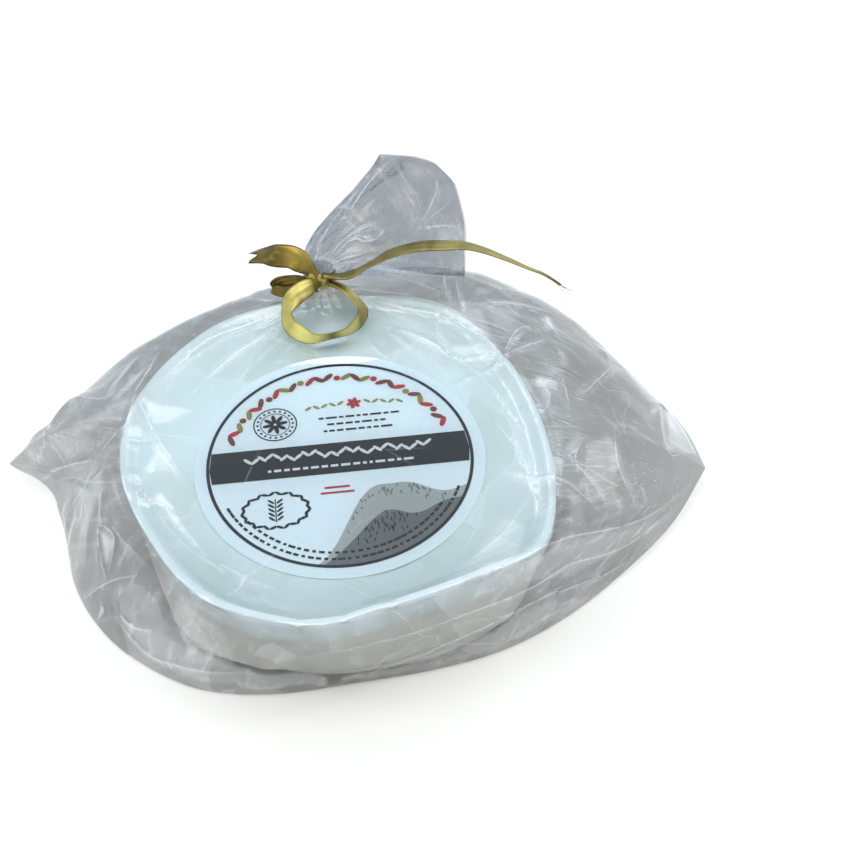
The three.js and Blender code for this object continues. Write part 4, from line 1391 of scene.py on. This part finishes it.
def neck_band(material):
    """The ribbon's turn round the gathered neck."""
    steps = 18
    route = []
    radius = NECK_RADIUS + BAND_GAP
    for step in range(steps + 1):
        angle = -math.pi / 2 + step / steps * 2 * math.pi
        route.append((TIE[0] + radius * math.cos(angle), TIE[1] + radius * math.sin(angle),
                      TIE[2] - BAND_DROP * math.sin(angle), 0, 0, 1))
    return ribbon_piece("ribbon_band", route, BAND_WIDTH, material, EVEN_SHEEN, cup=0.3, knotted=0)


def loose_threads(material):
    """Frayed threads at the end of the long tail."""
    draw = random.Random(2)
    points = []
    faces = []
    end = np.array(RIGHT_TAIL_ROUTE[-1][:3])
    before = np.array(RIGHT_TAIL_ROUTE[-2][:3])
    way = unit(end - before)
    steps = 8
    for share, reach, lean in THREADS:
        first = len(points)
        start = mix(before, end, share) + np.array([0, 0, 0.2])
        for step in range(steps + 1):
            t = step / steps
            waver = np.array([draw.uniform(-0.12, 0.12) for _ in range(3)])
            point = start + way * reach * t + np.array(lean) * reach * t ** 1.6 + waver
            size = THREAD_RADIUS * (1 - 0.6 * step / steps)
            for corner in range(4):
                angle = corner * math.pi / 2
                points.append(point + np.array([0, math.cos(angle) * size, math.sin(angle) * size]))
        faces += grid_faces(steps + 1, 4, closed=True, first=first)
        faces.append((first + 3, first + 2, first + 1, first))
        last = first + 4 * steps
        faces.append((last, last + 1, last + 2, last + 3))
    return add_object("ribbon_threads", np.array(points), faces, material)


# Materials

# Sockets of a Mix node that blends colours
FIRST_COLOR = 6
SECOND_COLOR = 7
BLENDED_COLOR = 2
COLOR_AND_NORMAL = {"Color": "NodeSocketColor", "Normal": "NodeSocketVector"}
FACETS_PER_METRE = 48
PALE_CREASE = (0.95, 0.98, 1.0, 1)
WRINKLE_DEPTH = 0.0006
FIBRE_DEPTH = 0.0002
FILM_RELIEF = 0.0008
THREAD_DEPTH = 0.0002
RIPPLE_BEND = 0.0025  # how far, in metres, the film's slow ripples bend its fine lines
STREAKS_ROUND = 55  # streaks to a turn round the right corner
STREAKS_OUT = 9  # how often, to the metre, a streak ends on its way out
STREAK_TILT = 0.3  # how little the streaks follow the film's height
PAST_LABEL = (0.055, 0.062)  # from the middle of the lid, in metres
PAST_RIM = (0.06, 0.085)


def new_material(name):
    material = bpy.data.materials.new(name)
    material.use_nodes = True
    tree = material.node_tree
    return material, tree, tree.nodes["Principled BSDF"]


def set_inputs(tree, node, inputs):
    """Sets a node's inputs, each to a plain value or to the output of another node."""
    for socket, value in inputs.items():
        if isinstance(value, bpy.types.NodeSocket):
            tree.links.new(value, node.inputs[socket])
        else:
            node.inputs[socket].default_value = value


def add_node(tree, kind, inputs=None, **settings):
    node = tree.nodes.new("ShaderNode" + kind)
    for setting, value in settings.items():
        setattr(node, setting, value)
    set_inputs(tree, node, inputs or {})
    return node


def group_tree(name, inputs, outputs):
    """A shader node group, with each input a colour or a number as its first value is."""
    tree = bpy.data.node_groups.new(name, "ShaderNodeTree")
    for socket, value in inputs.items():
        kind = "NodeSocketColor" if isinstance(value, tuple) else "NodeSocketFloat"
        tree.interface.new_socket(socket, in_out="INPUT", socket_type=kind).default_value = value
    for socket, kind in outputs.items():
        tree.interface.new_socket(socket, in_out="OUTPUT", socket_type=kind)
    return tree, tree.nodes.new("NodeGroupInput"), tree.nodes.new("NodeGroupOutput")


def use_group(tree, group, inputs):
    return add_node(tree, "Group", inputs, node_tree=group)


def maths(tree, operation, *values, clamp=False):
    node = add_node(tree, "Math", dict(enumerate(values)), operation=operation, use_clamp=clamp)
    return node.outputs["Value"]


def vector_maths(tree, operation, *values):
    node = add_node(tree, "VectorMath", dict(enumerate(values)), operation=operation)
    return node.outputs["Value" if operation in ("LENGTH", "DOT_PRODUCT") else "Vector"]


def scaled(tree, vector, size):
    node = add_node(tree, "VectorMath", {0: vector, "Scale": size}, operation="SCALE")
    return node.outputs["Vector"]


def ranged(tree, value, source, target=(0, 1), **settings):
    """A value moved from one range to another."""
    node = add_node(tree, "MapRange", {"Value": value, "From Min": source[0], "From Max": source[1],
                                       "To Min": target[0], "To Max": target[1]}, **settings)
    return node.outputs["Result"]


def blended(tree, share, first, second):
    """A colour between two."""
    node = add_node(tree, "Mix", data_type="RGBA")
    set_inputs(tree, node, {"Factor": share, FIRST_COLOR: first, SECOND_COLOR: second})
    return node.outputs[BLENDED_COLOR]


def noise(tree, vector, scale, detail, distortion=0):
    return add_node(tree, "TexNoise", {"Vector": vector, "Scale": scale, "Detail": detail,
                                       "Distortion": distortion})


def bumped(tree, height, strength, distance):
    node = add_node(tree, "Bump", {"Height": height, "Strength": strength, "Distance": distance})
    return node.outputs["Normal"]


def place_on_piece(tree):
    return add_node(tree, "TexCoord").outputs["Object"]


def read_mark(tree, name):
    """The number that set_mark put on the mesh's points."""
    return add_node(tree, "Attribute", attribute_name=name).outputs["Fac"]


def soft_mottle_group():
    """Slow patches between two colours, broken into the facets of a crumpled sheet, each painted a little
    lighter or darker as painted light and shade, and pale lines.
    """
    tree, given, result = group_tree("soft mottle", {
        "First": (1, 1, 1, 1), "Second": (0.8, 0.8, 0.8, 1), "Scale": 40.0, "Wrinkle": 0.1,
        "Crumple": 0.0}, COLOR_AND_NORMAL)
    crumple = given.outputs["Crumple"]
    place = place_on_piece(tree)
    patches = noise(tree, place, given.outputs["Scale"], 3)
    spread = ranged(tree, patches.outputs["Fac"], (0.35, 0.65))

    # facets that are longer away from the tie than across, each in its own painted shade
    narrow = vector_maths(tree, "MULTIPLY", place, (1, 0.6, 1))
    bent = vector_maths(tree, "MULTIPLY_ADD", patches.outputs["Color"], (0.02, 0.02, 0), narrow)
    cells = {"Vector": bent, "Scale": FACETS_PER_METRE}
    facets = add_node(tree, "TexVoronoi", cells)
    split = add_node(tree, "SeparateXYZ", {"Vector": facets.outputs["Color"]})
    facet_shade = add_node(tree, "Mix", {"Factor": crumple, 2: spread, 3: split.outputs["X"]})
    shade = blended(tree, facet_shade.outputs[0], given.outputs["First"], given.outputs["Second"])

    # pale lines between the facets, in some of the patches
    borders = add_node(tree, "TexVoronoi", cells, feature="DISTANCE_TO_EDGE")
    crease = ranged(tree, borders.outputs["Distance"], (0, 0.035), (1, 0))
    kept = maths(tree, "MULTIPLY", crease, spread)
    lined = blended(tree, maths(tree, "MULTIPLY", kept, crumple), shade, PALE_CREASE)

    wrinkles = noise(tree, place, 160, 4).outputs["Fac"]
    normal = bumped(tree, wrinkles, given.outputs["Wrinkle"], WRINKLE_DEPTH)
    set_inputs(tree, result, {"Color": lined, "Normal": normal})
    return tree


def paper_grain_group():
    """Fine fibres of paper, as a slight change of shade and a bump."""
    tree, given, result = group_tree("paper grain", {"Color": (1, 1, 1, 1), "Strength": 0.08},
                                     COLOR_AND_NORMAL)
    fibres = noise(tree, place_on_piece(tree), 900, 3).outputs["Fac"]
    tint = scaled(tree, given.outputs["Color"], ranged(tree, fibres, (0, 1), (0.9, 1.06)))
    normal = bumped(tree, fibres, given.outputs["Strength"], FIBRE_DEPTH)
    set_inputs(tree, result, {"Color": tint, "Normal": normal})
    return tree


def corner_streaks(tree, place):
    """Streaks that run to the bag's right corner: how strong each is. They whiten the film as painted
    highlights, and they also raise its bump.
    """
    to_corner = [-value * MM for value in FRONT_EDGE[-1]]
    from_corner = vector_maths(tree, "MULTIPLY_ADD", place, (1, 1, STREAK_TILT), to_corner)
    round_corner = scaled(tree, vector_maths(tree, "NORMALIZE", from_corner), STREAKS_ROUND)
    drawn_out = vector_maths(tree, "MULTIPLY_ADD", from_corner, [STREAKS_OUT] * 3, round_corner)
    streaks = noise(tree, drawn_out, 1, 2)
    return ranged(tree, streaks.outputs["Fac"], (0.52, 0.74), (0, 0.8))


def film_lines_group():
    """The surface of thin film: a mask of its fine lines, a mask of painted highlights on its facets, and a
    bump.
    """
    tree, given, result = group_tree("film lines", {"Scale": 30.0, "Bump": 0.3}, {
        "Lines": "NodeSocketFloat", "Facet highlights": "NodeSocketFloat", "Normal": "NodeSocketVector"})
    place = place_on_piece(tree)
    ripples = noise(tree, place, 75, 2)
    bent = vector_maths(tree, "MULTIPLY_ADD", ripples.outputs["Color"], [RIPPLE_BEND] * 3, place)
    plan = vector_maths(tree, "MULTIPLY", place, (1, 1, 0))
    away = vector_maths(tree, "LENGTH", plan)

    # straight creases between large cells, in some patches only
    cells = add_node(tree, "TexVoronoi", {"Vector": bent, "Scale": given.outputs["Scale"]},
                     feature="DISTANCE_TO_EDGE")
    patches = noise(tree, place, 31, 0)
    creases = maths(tree, "MULTIPLY", ranged(tree, cells.outputs["Distance"], (0, 0.012), (0.75, 0)),
                    ranged(tree, patches.outputs["Fac"], (0.48, 0.66)))

    # flat facets round the label, each with its own share of painted highlight
    panes = add_node(tree, "TexVoronoi", {"Vector": bent, "Scale": 44})
    split = add_node(tree, "SeparateXYZ", {"Vector": panes.outputs["Color"]})
    facets = maths(tree, "MULTIPLY", ranged(tree, split.outputs["X"], (0.3, 1)),
                   ranged(tree, away, PAST_LABEL))

    streaks = maths(tree, "MULTIPLY", corner_streaks(tree, place), ranged(tree, away, PAST_RIM))
    height = maths(tree, "MULTIPLY_ADD", streaks, 0.5, ripples.outputs["Fac"])
    set_inputs(tree, result, {
        "Lines": maths(tree, "MAXIMUM", creases, streaks), "Facet highlights": facets,
        "Normal": bumped(tree, height, given.outputs["Bump"], FILM_RELIEF)})
    return tree


def clear_film(lines, name, tint):
    """Thin clear film that tints what lies behind it and shines at a flat angle. Creases whiten it, painted
    highlights on the facets that catch the light whiten it more, and it is duller there, so that it doesn't
    mirror the lights."""
    material, tree, gloss = new_material(name)
    through = add_node(tree, "BsdfTransparent", {"Color": tint})
    fine = use_group(tree, lines, {"Scale": 30.0, "Bump": 0.35})
    # the painted highlights of the panes
    pane_highlight = read_mark(tree, "pane_highlight")
    crease = maths(tree, "POWER", read_mark(tree, "crease"), 2.2)
    # the lines' streaks whiten the film as painted highlights
    creased = maths(tree, "MULTIPLY_ADD", fine.outputs["Lines"], 0.5, crease)
    dull = maths(tree, "MULTIPLY_ADD", pane_highlight, 2, creased, clamp=True)
    set_inputs(tree, gloss, {
        "Base Color": FILM_GLOSS, "Normal": fine.outputs["Normal"],
        "Roughness": ranged(tree, dull, (0, 1), (0.2, 0.5)),
        "Metallic": ranged(tree, dull, (0, 1), (1, 0.25))})

    fresnel = add_node(tree, "Fresnel", {"IOR": 1.5}).outputs["Fac"]
    # painted highlights on the facets and panes whiten the film
    painted_highlights = maths(tree, "MULTIPLY_ADD", fine.outputs["Facet highlights"], 0.12, pane_highlight)
    both_faces = maths(tree, "MULTIPLY_ADD", fresnel, 1.1, painted_highlights)
    whitened = maths(tree, "MULTIPLY_ADD", creased, 0.4, both_faces, clamp=True)
    film = add_node(tree, "MixShader", {
        "Fac": whitened, 1: through.outputs["BSDF"], 2: gloss.outputs["BSDF"]})
    set_inputs(tree, tree.nodes["Material Output"], {"Surface": film.outputs["Shader"]})
    return material


def milky_sheet(mottle, name, colors, wrinkle, crumple, roughness, marks=()):
    """Thin milky plastic in two near shades, with another shade where a mark on its points says so."""
    material, tree, plastic = new_material(name)
    patches = use_group(tree, mottle, {
        "First": colors[0], "Second": colors[1], "Scale": 28.0, "Wrinkle": wrinkle, "Crumple": crumple})
    shade = patches.outputs["Color"]
    for mark, color in marks:
        shade = blended(tree, read_mark(tree, mark), shade, color)
    set_inputs(tree, plastic, {
        "Base Color": shade, "Roughness": roughness, "Normal": patches.outputs["Normal"]})
    return material


def tub_plastic(mottle):
    return milky_sheet(mottle, "milky tub", TUB_COLORS, wrinkle=0.1, crumple=0, roughness=0.45)


def cover_plastic(mottle):
    # The rim's colour is a painted highlight, the skirt's colour is painted shade down the side, and the
    # shaded colour is painted shade inside the rim in front.
    return milky_sheet(mottle, "cover sheet", COVER_COLORS, wrinkle=0.35, crumple=0.7, roughness=0.4,
                       marks=(("rim", RIM_HIGHLIGHT_COLOR), ("skirt", SKIRT_SHADE_COLOR), ("shade", SHADED_COLOR)))


def printed_paper(grain, name, color, roughness):
    material, tree, paper = new_material(name)
    fibres = use_group(tree, grain, {"Color": color, "Strength": 0.1})
    set_inputs(tree, paper, {
        "Base Color": fibres.outputs["Color"], "Roughness": roughness, "Specular IOR Level": 0.2,
        "Normal": fibres.outputs["Normal"]})
    return material


def gold_satin(name, shade_side, light_side):
    """Olive gold satin: fine threads across, painted bands of highlight and shade, and edges where the
    painted highlight fades, so that they are darker.
    """
    material, tree, cloth = new_material(name)
    along = add_node(tree, "UVMap", uv_map="along").outputs["UV"]
    split = add_node(tree, "SeparateXYZ", {"Vector": along})
    threads = add_node(tree, "TexWave", {"Vector": along, "Scale": 9, "Distortion": 0.4, "Detail": 1},
                       bands_direction="Y")
    # painted bands of highlight and shade along the ribbon
    stretched = add_node(tree, "Mapping", {"Vector": along, "Scale": (0.35, 0.9, 1)})
    bands = noise(tree, stretched.outputs["Vector"], 1, 1, distortion=0.6)
    painted_bands = ranged(tree, bands.outputs["Fac"], (0.35, 0.65), (-0.25, 0.25))
    lit = maths(tree, "ADD", read_mark(tree, "painted_sheen"), painted_bands, clamp=True)
    # the painted highlight fades towards both edges
    from_edge = maths(tree, "PINGPONG", split.outputs["X"], 0.5)
    bright = maths(tree, "MULTIPLY", lit, ranged(tree, from_edge, (0, 0.1), (0.3, 1)))
    set_inputs(tree, cloth, {
        "Base Color": blended(tree, bright, shade_side, light_side), "Metallic": 0.65, "Roughness": 0.3,
        "Normal": bumped(tree, threads.outputs["Fac"], 0.12, THREAD_DEPTH)})
    return material


# The room

def floor():
    material, tree, paint = new_material("pale floor")
    set_inputs(tree, paint, {"Base Color": FLOOR_COLOR, "Roughness": 0.9, "Specular IOR Level": 0.1})
    corners = [(-FLOOR_REACH, -FLOOR_REACH, 0), (FLOOR_REACH, -FLOOR_REACH, 0),
               (FLOOR_REACH, FLOOR_REACH, 0), (-FLOOR_REACH, FLOOR_REACH, 0)]
    thing = add_object("floor", corners, [(0, 1, 2, 3)], material, smooth=False)
    return thing


def soft_room():
    """Cool light from behind and above, and a dimmer, warmer room in front."""
    world = bpy.data.worlds.new("room")
    bpy.context.scene.world = world
    world.use_nodes = True
    tree = world.node_tree
    way = add_node(tree, "TexCoord").outputs["Generated"]
    behind = vector_maths(tree, "DOT_PRODUCT", way, (0, 0.75, 0.65))
    spread = ranged(tree, behind, (0.1, 0.95), interpolation_type="SMOOTHSTEP")
    set_inputs(tree, tree.nodes["Background"], {
        "Color": blended(tree, spread, ROOM_IN_FRONT, ROOM_BEHIND), "Strength": ROOM_STRENGTH})


def softbox(name, place, wide, high, brightness, color):
    """A flat light that faces the pack. Its brightness is what a mirror of it would show."""
    light = bpy.data.lights.new(name, "AREA")
    light.shape = "RECTANGLE"
    light.size = wide
    light.size_y = high
    light.energy = brightness * math.pi * wide * high
    light.color = color
    thing = bpy.data.objects.new(name, light)
    thing.location = place
    thing.rotation_mode = "QUATERNION"
    thing.rotation_quaternion = (Vector(LIGHTS_AIM) - Vector(place)).to_track_quat("-Z", "Y")
    bpy.context.scene.collection.objects.link(thing)


def camera():
    data = bpy.data.cameras.new("camera")
    data.lens = CAMERA_LENS
    data.sensor_width = CAMERA_SENSOR
    data.clip_start = 0.01
    thing = bpy.data.objects.new("camera", data)
    right = Vector(CAMERA_RIGHT)
    up = Vector(CAMERA_UP)
    axes = Matrix((right, up, right.cross(up))).transposed()
    thing.matrix_world = Matrix.Translation(Vector(CAMERA_PLACE) * MM) @ axes.to_4x4()
    bpy.context.scene.collection.objects.link(thing)
    bpy.context.scene.camera = thing


# The pack put together

def film():
    lines = film_lines_group()
    bag, edge = body_film(clear_film(lines, "clear film", TOP_TINT))
    under = under_film(edge, clear_film(lines, "film on the table", UNDER_TINT))
    mouth = mouth_film(clear_film(lines, "gathered film", MOUTH_TINT))
    for piece in (bag, under, mouth):
        piece.visible_shadow = False  # film this thin darkens nothing that lies under it
        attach(piece, "root")
        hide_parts("bag")


def covered_tub():
    mottle = soft_mottle_group()
    body = tub(tub_plastic(mottle))
    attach(body, "root")
    sheet = cover(cover_plastic(mottle))
    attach(sheet, "root")


def printed_label():
    grain = paper_grain_group()
    round_label = label(printed_paper(grain, "label paper", PAPER_COLOR, 0.38))
    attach(round_label, "root")
    for ink, shapes in label_print().items():
        color, lift = INKS[ink]
        material = printed_paper(grain, ink.replace("_", " ") + " ink", color, 0.5)
        piece = ink_piece("label_ink_" + ink, shapes, lift, material)
        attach(piece, "root")


def ribbon():
    # One satin painted in three lights: lit for the knot and loop, half in shade (dull) for the long tail,
    # and in shade for the rest
    satin = gold_satin("gold satin", *LIT_SATIN)
    dull = gold_satin("half shaded gold satin", *HALF_SHADED_SATIN)
    shaded = gold_satin("gold satin in shade", *SHADED_SATIN)
    pieces = [
        neck_band(shaded),
        knot(satin),
        ribbon_piece("ribbon_left_tail", LEFT_TAIL_ROUTE, RIBBON_WIDTH, shaded, LEFT_TAIL_SHEEN, steps=64,
                     cup=0.8, notch=4.0),
        ribbon_piece("ribbon_loop", LOOP_ROUTE, RIBBON_WIDTH * 0.83, satin, LOOP_SHEEN, steps=150, cup=0.5,
                     knotted=2),
        ribbon_piece("ribbon_short_loop", SHORT_LOOP_ROUTE, RIBBON_WIDTH * 0.5, shaded, EVEN_SHEEN, steps=64,
                     cup=0.4, knotted=2),
        ribbon_piece("ribbon_right_tail", RIGHT_TAIL_ROUTE, RIBBON_WIDTH * 0.8, dull, RIGHT_TAIL_SHEEN,
                     steps=160, end_width=1.2, cup=0.5),
        loose_threads(shaded),
    ]
    for piece in pieces:
        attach(piece, "root")
        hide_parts("ribbon")


camera()
soft_room()
floor()
for light in LIGHTS:
    softbox(*light)
film()
covered_tub()
printed_label()
ribbon()

bpy.context.scene.view_settings.view_transform = "Standard"
bpy.context.scene.cycles.transparent_max_bounces = 16
